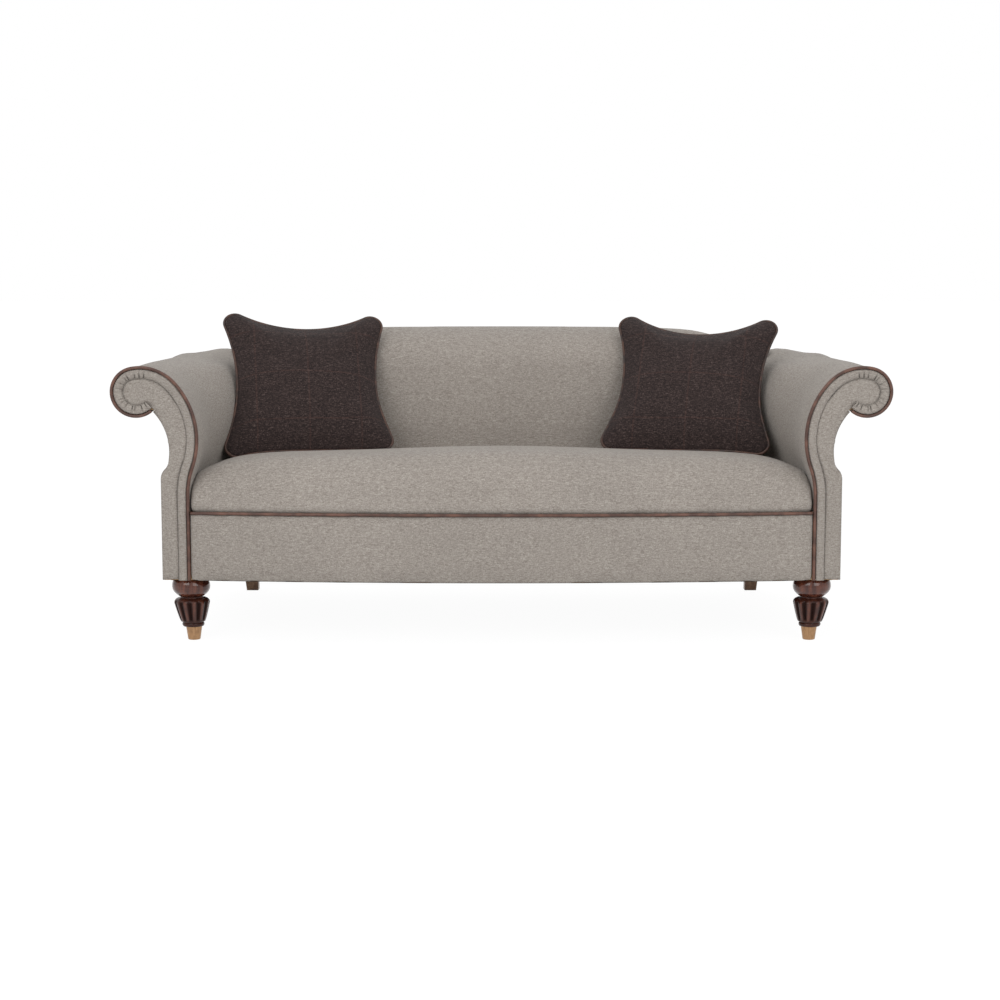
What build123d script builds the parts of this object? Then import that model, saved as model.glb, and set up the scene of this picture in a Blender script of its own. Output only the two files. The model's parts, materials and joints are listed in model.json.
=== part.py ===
from build123d import *

import os
from math import atan2, cos, radians, sin, sqrt, tan

# A scroll-arm sofa with a tight sprung seat, a tight back and two scatter cushions.
# Millimetres. X runs along the sofa, the front faces -Y, and the floor is Z = 0.
# The right-hand pieces are those on the +X side.

# Overall sizes
overall_depth = 920.0
inside_width = 1568.0
arm_width = 73.0
base_height = 160.0
back_rise = 610.0
back_rake = 8.0

# Clearances
soft_gap = 0.4
peg_gap = 0.2
seat_gap = 0.3

# Seat frame timbers
rail_height = 148.0
rail_thickness = 28.0
side_rail_thickness = 30.0
seat_bow = 46.0
bearer_width = 50.0
bearer_height = 46.0
bearer_drop = 60.0
block_leg = 120.0
block_height = 62.0

# Arm profile, a chain of arcs in the front view, from the foot over the scroll
ogee_rise = 213.0
ogee_radius = 216.0
ogee_angle = 19.6
flank_radius = 215.0
flank_angle = 42.0
brow_radius = 120.0
brow_angle = 59.0
roll_radius = 64.5
roll_angle = 208.0
crease_slant = 30.0
neck_rise = 306.0
neck_sag = -14.3
shoulder_radius = 35.0
shoulder_angle = 45.7

# Arm frame and upholstery
post_thickness = 28.0
post_inset = 9.3
arm_pad_thickness = 28.0
roll_rail_radius = 35.5
tacking_rail_height = 45.0
tacking_rail_rise = 180.0
outside_thickness = 5.0
facing_thickness = 10.0
facing_seam = 22.0
gather_thickness = 13.0
gather_count = 14
gather_first_angle = 135.0
gather_pitch = 15.0
gather_radius = 1.6
piping_radius = 4.5
piping_proud = 1.5

# Back frame and upholstery
back_panel_thickness = 6.0
back_board_thickness = 30.0
back_post_width = 38.0
back_post_setback = 78.0
back_top_rail_height = 70.0
back_top_rail_rise = 540.0
back_upright_width = 45.0
back_upright_spacing = 470.0
webbing_thickness = 2.5
webbing_width = 50.0
back_webbing_count = 9
back_webbing_pitch = 150.0
arm_webbing_count = 4
arm_webbing_pitch = 165.0
arm_webbing_bend = 405.0
back_pad_depth = 217.0
back_crown = 9.0
back_roll_drop = 92.0
back_apex_share = 0.52
# Share of half the inside width and drop of the top line there, from the arm to the middle
back_stations = ((1.09, 64.0), (0.95, 45.0), (0.83, 22.0), (0.62, 5.0), (0.3, 0.0))

# Front border and seat pad
border_thickness = 14.0
border_height = 164.9
seat_crest_rise = 319.0
seat_rear_rise = 245.0
seat_crest_setback = 120.0
seat_end_drop = 62.0
seat_crown = 24.0
seat_nose_share = 0.27
seat_nose_rise_share = 0.78
seat_heel = 43.0
# Share of half the inside width and share of the end drop there, from the arm to the middle
seat_stations = ((1.02, 1.0), (0.9, 0.5), (0.54, 0.2), (0.0, 0.0))
hessian_thickness = 1.7
dust_cover_thickness = 1.5

# Seat springs, flat zigzags of square wire held by clips on the rails
spring_count = 8
spring_spacing = 172.0
spring_wire = 4.0
spring_width = 52.0
spring_bends = 15
spring_bend_radius = 9.0
clip_length = 18.0
clip_width = 16.0
clip_wall = 1.8

# Dowels, screws and bolts
dowel_radius = 5.0
dowel_length = 60.0
dowel_shift = 10.0
dowel_first = 48.0
dowel_spacing = 50.0
rear_peg_inset = 40.0
screw_radius = 2.5
screw_head_radius = 5.5
screw_head_height = 4.0
screw_length = 52.0
screw_reach = 70.0
screw_sink = 30.0
bolt_radius = 4.0
bolt_length = 96.0
bolt_depth = 48.0

# Turned front legs, with their heights above the floor
front_leg_inset = -2.0
front_leg_setback = 58.0
ferrule_height = 35.0
ferrule_foot_radius = 15.5
ferrule_top_radius = 20.5
ferrule_wall = 2.0
ring_radius = 28.0
ring_height = 10.0
ring_round = 2.0
vase_low_radius = 31.0
vase_low_height = 53.0
vase_foot_round = 2.5
vase_fullness = 0.58
vase_radius = 45.5
vase_height = 96.0
vase_cap_inset = 6.0
vase_cap_rise = 8.5
neck_radius = 29.0
neck_height = 109.0
bun_foot_height = 113.0
bun_radius = 48.5
bun_height = 138.0
bun_top_radius = 40.0
reed_count = 12
reed_groove_radius = 4.2
reed_end_drop = 9.0
reed_end_rise = 10.0
reed_low_sink = 5.0
reed_middle_lift = 3.0
reed_top_sink = 3.0

# Square tapered rear legs, kicked back below the knee
rear_leg_inset = 58.0
rear_leg_top = 42.0
rear_leg_foot = 33.0
rear_leg_knee = 60.0
rear_leg_kick = 52.0

# Scatter cushions
cushion_extent = 214.5
cushion_waist = 173.0
cushion_ear = 21.0
cushion_thickness = 118.0
cushion_cloth = 2.5
cushion_piping_radius = 3.5
cushion_drop_steps = 6
# Distance of each cushion's middle from the inside arm and from the tuck of the back
left_cushion_inset = 251.5
left_cushion_setback = 81.0
left_cushion_yaw = 12.0
left_cushion_tilt = 36.5
left_cushion_roll = -2.0
right_cushion_inset = 266.0
right_cushion_setback = 85.0
right_cushion_yaw = -11.0
right_cushion_tilt = 38.0
right_cushion_roll = -1.3
# Share of the half thickness, of the reach of the ears, of the waist and of the ear radius, up from the seam
cushion_contours = (
    (0.0, 1.0, 1.0, 1.0),
    (0.24, 0.9, 0.955, 1.3),
    (0.58, 0.7, 0.83, 1.6),
    (0.87, 0.45, 0.53, 1.5),
    (1.0, 0.19, 0.22, 0.9),
)

# Places worked out from the sizes above
rear_y = overall_depth / 2
back_height = base_height + back_rise
rake_slope = tan(radians(back_rake))
arm_inner_x = inside_width / 2
arm_outer_x = arm_inner_x + arm_width
ogee_foot = base_height + ogee_rise
neck_x = arm_outer_x - 2 * shoulder_radius * (1 - cos(radians(shoulder_angle)))
rail_top = base_height + rail_height
border_front = -overall_depth / 2 + piping_proud
post_front = border_front + seat_bow + border_thickness
post_back = post_front + post_thickness
post_inner_x = arm_inner_x + post_inset
bow_radius = (post_inner_x**2 + seat_bow**2) / (2 * seat_bow)
clip_top = rail_top + clip_wall + spring_wire + 2 * peg_gap + clip_wall
hessian_foot = clip_top + seat_gap
pad_foot = hessian_foot + hessian_thickness + seat_gap
border_top = base_height + border_height
seat_piping_height = border_top + seat_gap + piping_radius
seat_lip = seat_piping_height + piping_radius + seat_gap
seat_crest = base_height + seat_crest_rise
seat_rear = base_height + seat_rear_rise
board_near = back_panel_thickness
board_far = board_near + back_board_thickness
web_far = board_far + webbing_thickness
pad_near = web_far + seat_gap
pad_far = pad_near + back_pad_depth
back_top_rail_foot = base_height + back_top_rail_rise - back_top_rail_height
back_top_rail_top = base_height + back_top_rail_rise
back_lip = back_top_rail_top + seat_gap
tacking_foot = base_height + tacking_rail_rise
tacking_top = tacking_foot + tacking_rail_height
back_post_x = arm_inner_x - back_post_setback + back_post_width / 2
back_post_inner_x = back_post_x - back_post_width / 2
side_rail_x = arm_outer_x - outside_thickness - seat_gap - side_rail_thickness / 2
side_rail_inner_x = side_rail_x - side_rail_thickness / 2
front_leg_x = arm_inner_x - front_leg_inset
front_leg_y = border_front + seat_bow + front_leg_setback
rear_leg_x = arm_inner_x - rear_leg_inset
# A length that carries a cut or a rail past every other piece
reach = overall_depth


def rear_face(z):
    """Depth of the raked outside back at a height."""
    return rear_y - (back_lip - z) * rake_slope


def bow(x, inset):
    """Depth of the bowed front at x, for a curve set in behind the border's face."""
    return border_front + bow_radius - sqrt((bow_radius - inset) ** 2 - x**2)


def at_front(y):
    """Plane of the front view at a depth; extruding from it comes forward."""
    return Plane.XZ.offset(-y)


def turn_arc(start, heading, radius, turn):
    """Arc that sets out at a heading and turns left by an angle, both in degrees."""
    return JernArc(start, (cos(radians(heading)), sin(radians(heading))), radius, turn)


def scroll_edge(inset, foot):
    """Inner edge of the arm, set in from its outline, from the foot up and over the scroll."""
    rise = Line((arm_inner_x + inset, foot), (arm_inner_x + inset, ogee_foot))
    swell = turn_arc(rise @ 1, 90, ogee_radius + inset, ogee_angle)
    belly = turn_arc(swell @ 1, 90 + ogee_angle, ogee_radius - inset, -ogee_angle)
    flank = turn_arc(belly @ 1, 90, flank_radius - inset, -flank_angle)
    brow = turn_arc(flank @ 1, 90 - flank_angle, brow_radius - inset, -brow_angle)
    roll = turn_arc(brow @ 1, 90 - flank_angle - brow_angle, roll_radius - inset, -roll_angle)
    return rise @ 0, roll @ 1, roll.center_point


with BuildLine() as arm_edge:
    crease, scroll_centre = scroll_edge(0, base_height)[1:]


def outer_edge(inset, foot):
    """Outer edge of the arm, from the crease under the scroll down to its foot."""
    slant = radians(crease_slant)
    top = (crease.X - inset * cos(slant), crease.Y + inset * sin(slant))
    under = SagittaArc(top, (neck_x - inset, base_height + neck_rise), neck_sag)
    waist = turn_arc(under @ 1, 270, shoulder_radius + inset, shoulder_angle)
    hip = turn_arc(waist @ 1, 270 + shoulder_angle, shoulder_radius - inset, -shoulder_angle)
    side = Line(hip @ 1, (arm_outer_x - inset, foot))
    return under @ 0, side @ 1


def scroll_strip(near, far, foot):
    """Sketch of the strip between two insets along the arm's inner edge."""
    with BuildSketch() as strip:
        with BuildLine():
            near_foot, near_crease, centre = scroll_edge(near, foot)
            far_foot, far_crease, centre = scroll_edge(far, foot)
            Line(near_foot, far_foot)
            Line(near_crease, far_crease)
        make_face()
    return strip.sketch


def arm_board(inset, outer_inset, foot):
    """Sketch of the whole arm outline, set in along its inner and its outer edge."""
    with BuildSketch() as board:
        with BuildLine():
            inner_foot, inner_crease, centre = scroll_edge(inset, foot)
            outer_top, outer_foot = outer_edge(outer_inset, foot)
            Line(inner_crease, outer_top)
            Line(outer_foot, inner_foot)
        make_face()
    return board.sketch


def bow_arc(inset, half_width):
    """Arc of the bowed front in plan, set in and cut off at both ends."""
    end = bow(half_width, inset)
    return ThreePointArc((-half_width, end), (0, bow(0, inset)), (half_width, end))


def bow_band(near, far, half_width):
    """Plan sketch of a band that follows the bowed front between two insets."""
    with BuildSketch() as band:
        with BuildLine():
            front = bow_arc(near, half_width)
            back = bow_arc(far, half_width)
            Line(front @ 0, back @ 0)
            Line(front @ 1, back @ 1)
        make_face()
    return band.sketch


def bowed_plan(inset, half_width, back):
    """Plan sketch bounded by the bowed front, two straight sides and a straight back."""
    with BuildSketch() as plan:
        with BuildLine():
            front = bow_arc(inset, half_width)
            Polyline(front @ 1, (half_width, back), (-half_width, back), front @ 0)
        make_face()
    return plan.sketch


def clip_between_rakes(near, far):
    """Keep what lies between two raked planes, set in from the outside back."""
    with BuildSketch(Plane.YZ) as slab:
        with BuildLine():
            Polyline(
                (rear_face(0) - near, 0),
                (rear_face(2 * back_height) - near, 2 * back_height),
                (rear_face(2 * back_height) - far, 2 * back_height),
                (rear_face(0) - far, 0),
                close=True,
            )
        make_face()
    extrude(slab.sketch, amount=2 * arm_outer_x, both=True, mode=Mode.INTERSECT)


def back_board(left, right, low, high):
    """Board of the back frame, given by its sides and its ends in the front view."""
    with BuildSketch(at_front(reach)) as view:
        with Locations(((left + right) / 2, (low + high) / 2)):
            Rectangle(right - left, high - low)
    extrude(view.sketch, amount=reach)
    clip_between_rakes(board_near, board_far)


def rail_between(section_x, section_z, width, height):
    """Rail along the depth, from the arm's front post to the back frame."""
    with BuildSketch(at_front(reach)) as section:
        with Locations((section_x, section_z)):
            Rectangle(width, height)
    extrude(section.sketch, amount=reach - post_back)
    clip_between_rakes(board_far, 2 * reach)


def board_middle(z):
    """Depth of the middle of the back frame's boards at a height."""
    return rear_face(z) - (board_near + board_far) / 2


# Dowels: the middle of each and the direction it points in
across = (0, 90, 0)
along = (90, 0, 0)
upright = (0, 0, 0)
dowel_places = []
for side in (-1, 1):
    for row in (0, 1):
        low = base_height + dowel_first + row * dowel_spacing
        high = low + dowel_spacing / 2
        rear_joint = rear_face(high) - board_far
        post_y = (post_front + post_back) / 2
        dowel_places.append(((side * (post_inner_x - dowel_shift), post_y, low), across))
        dowel_places.append(((side * side_rail_x, post_back + dowel_shift, high), along))
        dowel_places.append(((side * side_rail_x, rear_joint - dowel_shift, high), along))
        rail_z = back_top_rail_foot + (1 + 2 * row) * back_top_rail_height / 4
        dowel_places.append(((side * back_post_inner_x, board_middle(rail_z), rail_z), across))
    tack_z = (tacking_foot + tacking_top) / 2
    dowel_places.append(((side * back_post_inner_x, board_middle(tack_z), tack_z), across))
    dowel_places.append(((side * back_post_x, board_middle(rail_top), rail_top), upright))
    dowel_places.append(((side * (arm_inner_x + rear_peg_inset), board_middle(rail_top), rail_top), upright))
    for joint_z in (tacking_top, back_top_rail_foot):
        dowel_places.append(((side * back_upright_spacing / 2, board_middle(joint_z), joint_z), upright))
    for joint_x, joint_z in ((scroll_centre.X, scroll_centre.Y), (side_rail_x, tack_z)):
        dowel_places.append(((side * joint_x, post_back + dowel_shift, joint_z), along))
        dowel_places.append(((side * joint_x, rear_face(joint_z) - board_far - dowel_shift, joint_z), along))
bearer_z = rail_top - bearer_drop - bearer_height / 2
dowel_places.append(((0, bow(0, border_thickness + rail_thickness) + dowel_shift, bearer_z), along))
dowel_places.append(((0, rear_face(bearer_z) - board_far - dowel_shift, bearer_z), along))
dowel_spots = [Location(place, turn) for place, turn in dowel_places]

with BuildPart() as frame_dowels:
    with Locations(*dowel_spots):
        Cylinder(dowel_radius, dowel_length)

with BuildPart() as dowel_holes:
    with Locations(*dowel_spots):
        Cylinder(dowel_radius + peg_gap, dowel_length + 2 * seat_gap)

# Screws of the corner blocks, into the side rails and into the front and back rails
screw_z = base_height + block_height / 2
block_front_y = post_back
block_back_y = rear_face(screw_z) - board_far
screw_spots = []
for side in (-1, 1):
    for corner_y, turn in ((block_front_y, 1), (block_back_y, -1)):
        side_y = corner_y + turn * screw_reach
        end_x = side * (side_rail_inner_x - screw_reach)
        head_x = side * (side_rail_inner_x - screw_sink)
        screw_spots.append(Location((head_x, side_y, screw_z), (0, side * 90, 0)))
        screw_spots.append(Location((end_x, corner_y + turn * screw_sink, screw_z), (turn * 90, 0, 0)))


def screw(extra):
    """Round-headed wood screw pointing up from the origin, its head below, grown by a clearance."""
    with BuildPart() as one_screw:
        with BuildSketch(Plane.XZ):
            with BuildLine():
                Polyline(
                    (0, -screw_head_height - extra),
                    (screw_head_radius + extra, -screw_head_height - extra),
                    (screw_head_radius + extra, 0),
                    (screw_radius + extra, 0),
                    (screw_radius + extra, screw_length + extra),
                    (0, screw_length + extra),
                    close=True,
                )
            make_face()
        revolve(axis=Axis.Z)
    return one_screw.part


with BuildPart() as block_screws:
    with Locations(*screw_spots):
        add(screw(0))

with BuildPart() as screw_holes:
    with Locations(*screw_spots):
        add(screw(peg_gap))

# Bolts that hold the legs, up into the corner blocks and the back rail
rear_leg_y = board_middle(base_height)
leg_places = [
    (-front_leg_x, front_leg_y),
    (front_leg_x, front_leg_y),
    (-rear_leg_x, rear_leg_y),
    (rear_leg_x, rear_leg_y),
]
bolt_spots = [Location((x, y, base_height - bolt_depth)) for x, y in leg_places]

with BuildPart() as leg_bolts:
    with Locations(*bolt_spots):
        Cylinder(bolt_radius, bolt_length, align=(Align.CENTER, Align.CENTER, Align.MIN))

with BuildPart() as bolt_holes:
    with Locations(*bolt_spots):
        Cylinder(
            bolt_radius + peg_gap, bolt_length + seat_gap, align=(Align.CENTER, Align.CENTER, Align.MIN)
        )


def bore_for_pegs():
    """Cut the holes for every dowel, screw and bolt that passes through the piece."""
    for holes in (dowel_holes, screw_holes, bolt_holes):
        add(holes.part, mode=Mode.SUBTRACT)


# Seat frame
with BuildPart() as front_seat_rail:
    with BuildSketch(Plane.XY.offset(base_height)):
        add(bow_band(border_thickness, border_thickness + rail_thickness, post_inner_x))
    extrude(amount=rail_height)
    bore_for_pegs()

with BuildPart() as back_seat_rail:
    back_board(-arm_outer_x + outside_thickness, arm_outer_x - outside_thickness, base_height, rail_top)
    bore_for_pegs()

with BuildPart() as right_side_rail:
    rail_between(side_rail_x, base_height + rail_height / 2, side_rail_thickness, rail_height)
    bore_for_pegs()

with BuildPart() as left_side_rail:
    mirror(right_side_rail.part, about=Plane.YZ)

with BuildPart() as seat_centre_bearer:
    with BuildSketch(Plane.XY.offset(bearer_z - bearer_height / 2)):
        add(bowed_plan(border_thickness + rail_thickness, bearer_width / 2, reach / 2))
    extrude(amount=bearer_height)
    clip_between_rakes(board_far, 2 * reach)
    bore_for_pegs()

# Corner blocks: triangles that fill the corners of the seat frame
with BuildPart() as corner_blocks:
    with BuildSketch(Plane.XY.offset(base_height)):
        for side in (-1, 1):
            for corner_y, turn in ((block_front_y, 1), (reach / 2, -1)):
                depth = block_leg if turn > 0 else reach / 2 - block_back_y + block_leg
                with BuildLine():
                    Polyline(
                        (side * side_rail_inner_x, corner_y),
                        (side * (side_rail_inner_x - depth), corner_y),
                        (side * side_rail_inner_x, corner_y + turn * depth),
                        close=True,
                    )
                make_face()
    extrude(amount=block_height)
    clip_between_rakes(board_far, 2 * reach)
    add(front_seat_rail.part, mode=Mode.SUBTRACT)
    bore_for_pegs()

# Arm frames
with BuildPart() as right_arm_front_post:
    with BuildSketch(at_front(post_back)):
        add(arm_board(post_inset, outside_thickness + seat_gap, base_height))
    extrude(amount=post_thickness)
    bore_for_pegs()

with BuildPart() as left_arm_front_post:
    mirror(right_arm_front_post.part, about=Plane.YZ)

with BuildPart() as right_arm_rear_post:
    with BuildSketch(at_front(reach)):
        add(arm_board(arm_pad_thickness + soft_gap, outside_thickness + seat_gap, rail_top))
    extrude(amount=reach)
    clip_between_rakes(board_near, board_far)
    bore_for_pegs()

with BuildPart() as left_arm_rear_post:
    mirror(right_arm_rear_post.part, about=Plane.YZ)

with BuildPart() as right_arm_roll_rail:
    with BuildSketch(at_front(reach)):
        with Locations((scroll_centre.X, scroll_centre.Y)):
            Circle(roll_rail_radius)
    extrude(amount=reach - post_back)
    clip_between_rakes(board_far, 2 * reach)
    bore_for_pegs()

with BuildPart() as left_arm_roll_rail:
    mirror(right_arm_roll_rail.part, about=Plane.YZ)

with BuildPart() as right_arm_tacking_rail:
    rail_between(side_rail_x, (tacking_foot + tacking_top) / 2, side_rail_thickness, tacking_rail_height)
    bore_for_pegs()

with BuildPart() as left_arm_tacking_rail:
    mirror(right_arm_tacking_rail.part, about=Plane.YZ)

# Back frame
with BuildPart() as right_back_post:
    back_board(back_post_inner_x, back_post_inner_x + back_post_width, rail_top, back_top_rail_top)
    bore_for_pegs()

with BuildPart() as left_back_post:
    mirror(right_back_post.part, about=Plane.YZ)

with BuildPart() as back_top_rail:
    back_board(-back_post_inner_x, back_post_inner_x, back_top_rail_foot, back_top_rail_top)
    bore_for_pegs()

with BuildPart() as back_tacking_rail:
    back_board(-back_post_inner_x, back_post_inner_x, tacking_foot, tacking_top)
    bore_for_pegs()

with BuildPart() as right_back_upright:
    upright_left = back_upright_spacing / 2 - back_upright_width / 2
    back_board(upright_left, upright_left + back_upright_width, tacking_top, back_top_rail_foot)
    bore_for_pegs()

with BuildPart() as left_back_upright:
    mirror(right_back_upright.part, about=Plane.YZ)

# Seat springs: each a zigzag of wire from a clip on the front rail to one on the back rail
spring_xs = [(place - (spring_count - 1) / 2) * spring_spacing for place in range(spring_count)]
spring_foot = rail_top + clip_wall + peg_gap
clip_back_y = rear_face(rail_top) - (board_near + board_far) / 2


def clip_front_y(x):
    """Depth of a spring's front clip, on the middle of the bowed rail."""
    return bow(x, border_thickness + rail_thickness / 2)


def spring_path(x):
    """Plan line of one spring, straight into its clips and zigzag between them."""
    first = clip_front_y(x)
    pitch = (clip_back_y - first - 2 * clip_length) / (spring_bends + 1)
    points = [(x, first - clip_length / 3), (x, first + clip_length)]
    for bend in range(spring_bends):
        swing = spring_width / 2 if bend % 2 else -spring_width / 2
        points.append((x + swing, first + clip_length + pitch * (bend + 1)))
    points.append((x, clip_back_y - clip_length))
    points.append((x, clip_back_y + clip_length / 3))
    FilletPolyline(*points, radius=spring_bend_radius)


with BuildPart() as seat_springs:
    with BuildSketch(Plane.XY.offset(spring_foot)):
        for x in spring_xs:
            with BuildLine():
                spring_path(x)
            trace(line_width=spring_wire)
    extrude(amount=spring_wire)

with BuildPart() as spring_clips:
    with BuildSketch(Plane.XY.offset(rail_top)):
        with Locations(*[(x, y) for x in spring_xs for y in (clip_front_y(x), clip_back_y)]):
            Rectangle(clip_width, clip_length)
    extrude(amount=clip_top - rail_top)
    with BuildSketch(Plane.XY.offset(rail_top + clip_wall)):
        with Locations(*[(x, y) for x in spring_xs for y in (clip_front_y(x), clip_back_y)]):
            Rectangle(spring_wire + 2 * peg_gap, clip_length)
    extrude(amount=spring_wire + 2 * peg_gap, mode=Mode.SUBTRACT)

with BuildPart() as seat_hessian:
    with BuildSketch(Plane.XY.offset(hessian_foot)):
        add(bowed_plan(border_thickness + seat_gap, arm_inner_x - soft_gap, reach / 2))
    extrude(amount=hessian_thickness)
    clip_between_rakes(board_far, 2 * reach)

# Webbing on the back frame and between the arm rails
with BuildPart() as back_webbing:
    with BuildSketch(at_front(reach)):
        with Locations((0, (tacking_foot + back_top_rail_top) / 2)):
            with GridLocations(back_webbing_pitch, 1, back_webbing_count, 1):
                Rectangle(webbing_width, back_top_rail_top - tacking_foot)
    extrude(amount=reach)
    clip_between_rakes(board_far, web_far)

web_low_x = side_rail_inner_x - seat_gap
web_high_x = scroll_centre.X - roll_rail_radius - seat_gap
web_bend = base_height + arm_webbing_bend
web_middle_y = (post_back + rear_face(scroll_centre.Y) - board_far) / 2

with BuildPart() as right_arm_webbing:
    for place in range(arm_webbing_count):
        web_y = web_middle_y + (place - (arm_webbing_count - 1) / 2) * arm_webbing_pitch
        with BuildSketch(at_front(web_y + webbing_width / 2)):
            with BuildLine():
                Polyline(
                    (web_low_x, tacking_foot),
                    (web_low_x, web_bend),
                    (web_high_x, scroll_centre.Y),
                    (web_high_x - webbing_thickness, scroll_centre.Y),
                    (web_low_x - webbing_thickness, web_bend),
                    (web_low_x - webbing_thickness, tacking_foot),
                    close=True,
                )
            make_face()
        extrude(amount=webbing_width)

with BuildPart() as left_arm_webbing:
    mirror(right_arm_webbing.part, about=Plane.YZ)

# The space that both arms fill, with room round it, for the seat and the back to fit against
with BuildPart() as arm_space:
    with BuildSketch(at_front(reach)):
        add(arm_board(-soft_gap, seat_gap, 0))
        with BuildLine():
            beside_top, beside_foot = outer_edge(outside_thickness, 0)
            Polyline(beside_foot, (crease.X, 0), (crease.X, crease.Y), beside_top)
        make_face()
    extrude(amount=2 * reach)
    mirror(about=Plane.YZ)

# Upholstery of the arms
with BuildPart() as right_arm_pad:
    with BuildSketch(at_front(reach)):
        add(scroll_strip(0, arm_pad_thickness, pad_foot))
    extrude(amount=reach - post_back - seat_gap)
    with BuildSketch(at_front(post_back + seat_gap)):
        add(scroll_strip(0, post_inset - seat_gap, pad_foot))
    extrude(amount=post_thickness)
    clip_between_rakes(back_panel_thickness + seat_gap, 2 * reach)

with BuildPart() as left_arm_pad:
    mirror(right_arm_pad.part, about=Plane.YZ)

with BuildPart() as right_outside_arm:
    with BuildSketch(at_front(reach)):
        with BuildLine():
            outer_top, outer_foot = outer_edge(0, base_height)
            inner_top, inner_foot = outer_edge(outside_thickness, base_height)
            Line(outer_top, inner_top)
            Line(outer_foot, inner_foot)
        make_face()
    extrude(amount=reach - post_front + facing_thickness)
    clip_between_rakes(back_panel_thickness + seat_gap, 2 * reach)

with BuildPart() as left_outside_arm:
    mirror(right_outside_arm.part, about=Plane.YZ)

with BuildPart() as right_facing_panel:
    with BuildSketch(at_front(post_front)):
        add(arm_board(facing_seam + soft_gap, outside_thickness + seat_gap, base_height))
    extrude(amount=facing_thickness)

with BuildPart() as left_facing_panel:
    mirror(right_facing_panel.part, about=Plane.YZ)

# The border of the facing, gathered into small pleats that point at the centre of the scroll
gather_middle = roll_radius - (post_inset + facing_seam) / 2
gather_plane = Plane(
    origin=(scroll_centre.X, post_front - gather_thickness, scroll_centre.Y),
    x_dir=(1, 0, 0),
    z_dir=(0, -1, 0),
)

with BuildPart() as right_facing_border:
    with BuildSketch(at_front(post_front)):
        add(scroll_strip(post_inset, facing_seam, base_height))
    extrude(amount=gather_thickness)
    for pleat in range(gather_count):
        angle = radians(gather_first_angle - pleat * gather_pitch)
        middle = gather_plane.from_local_coords((gather_middle * cos(angle), gather_middle * sin(angle), 0))
        with BuildSketch(Plane(middle, x_dir=(0, 1, 0), z_dir=(cos(angle), 0, sin(angle)))):
            Circle(gather_radius)
        extrude(amount=facing_seam, both=True, mode=Mode.SUBTRACT)

with BuildPart() as left_facing_border:
    mirror(right_facing_border.part, about=Plane.YZ)

piping_y = post_front - gather_thickness + piping_radius - piping_proud

with BuildPart() as right_arm_piping:
    with BuildLine(at_front(piping_y)) as piping_path:
        scroll_edge(piping_radius, base_height)
    with BuildSketch(Plane.XY.offset(base_height)):
        with Locations((arm_inner_x + piping_radius, piping_y)):
            Circle(piping_radius)
    sweep()

with BuildPart() as left_arm_piping:
    mirror(right_arm_piping.part, about=Plane.YZ)

# Front border, the piping above it and the dust cover under the frame
with BuildPart() as front_border:
    with BuildSketch(Plane.XY.offset(base_height)):
        add(bow_band(0, border_thickness, arm_inner_x - soft_gap))
    extrude(amount=border_height)

seat_piping_half = arm_inner_x - piping_radius / 2

with BuildPart() as seat_piping:
    with BuildLine(Plane.XY.offset(seat_piping_height)) as seat_seam:
        bow_arc(piping_radius - piping_proud, seat_piping_half)
    with BuildSketch(Plane(seat_seam.line @ 0, z_dir=seat_seam.line % 0)):
        Circle(piping_radius)
    sweep()

with BuildPart() as dust_cover:
    with BuildSketch(Plane.XY.offset(base_height - dust_cover_thickness)):
        add(bowed_plan(border_thickness, side_rail_x, rear_face(base_height) - board_near))
        with Locations(*[(x, front_leg_y) for x in (-front_leg_x, front_leg_x)]):
            Circle(bun_radius + seat_gap, mode=Mode.SUBTRACT)
        with Locations(*[(x, rear_leg_y) for x in (-rear_leg_x, rear_leg_x)]):
            Rectangle(rear_leg_top + 2 * seat_gap, rear_leg_top + 2 * seat_gap, mode=Mode.SUBTRACT)
    extrude(amount=dust_cover_thickness)


# Seat pad: round at the front, crowned on top, tucked down towards the arms
def seat_section(x, crest_drop):
    """Section of the seat pad at x, its crest and rear edge lowered near the arms."""
    front = bow(x, 0)
    crest = seat_crest - crest_drop
    rear = seat_rear - crest_drop
    lip = border_thickness + seat_gap
    back_low = rear_face(pad_foot) - pad_far - soft_gap
    back_high = rear_face(rear) - pad_far - soft_gap
    nose_height = seat_lip + seat_nose_rise_share * (crest - seat_lip)
    belly = (front + seat_nose_share * seat_crest_setback, nose_height)
    with BuildSketch(Plane.YZ.offset(x)) as section:
        with BuildLine():
            nose = ThreePointArc(
                (front + piping_proud, seat_lip), belly, (front + seat_crest_setback, crest)
            )
            middle = ((front + seat_crest_setback + back_high) / 2, (crest + rear) / 2 + seat_crown)
            top = ThreePointArc(nose @ 1, middle, (back_high, rear))
            Polyline(
                top @ 1,
                (back_low, pad_foot),
                (front + seat_heel, pad_foot),
                (front + lip, seat_lip),
                nose @ 0,
            )
        make_face()
    return section.sketch


seat_stops = [(-share, drop) for share, drop in seat_stations]
seat_stops += [(share, drop) for share, drop in reversed(seat_stations[:-1])]

with BuildPart() as seat_pad:
    loft([seat_section(share * arm_inner_x, drop * seat_end_drop) for share, drop in seat_stops])
    add(arm_space.part, mode=Mode.SUBTRACT)


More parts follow.
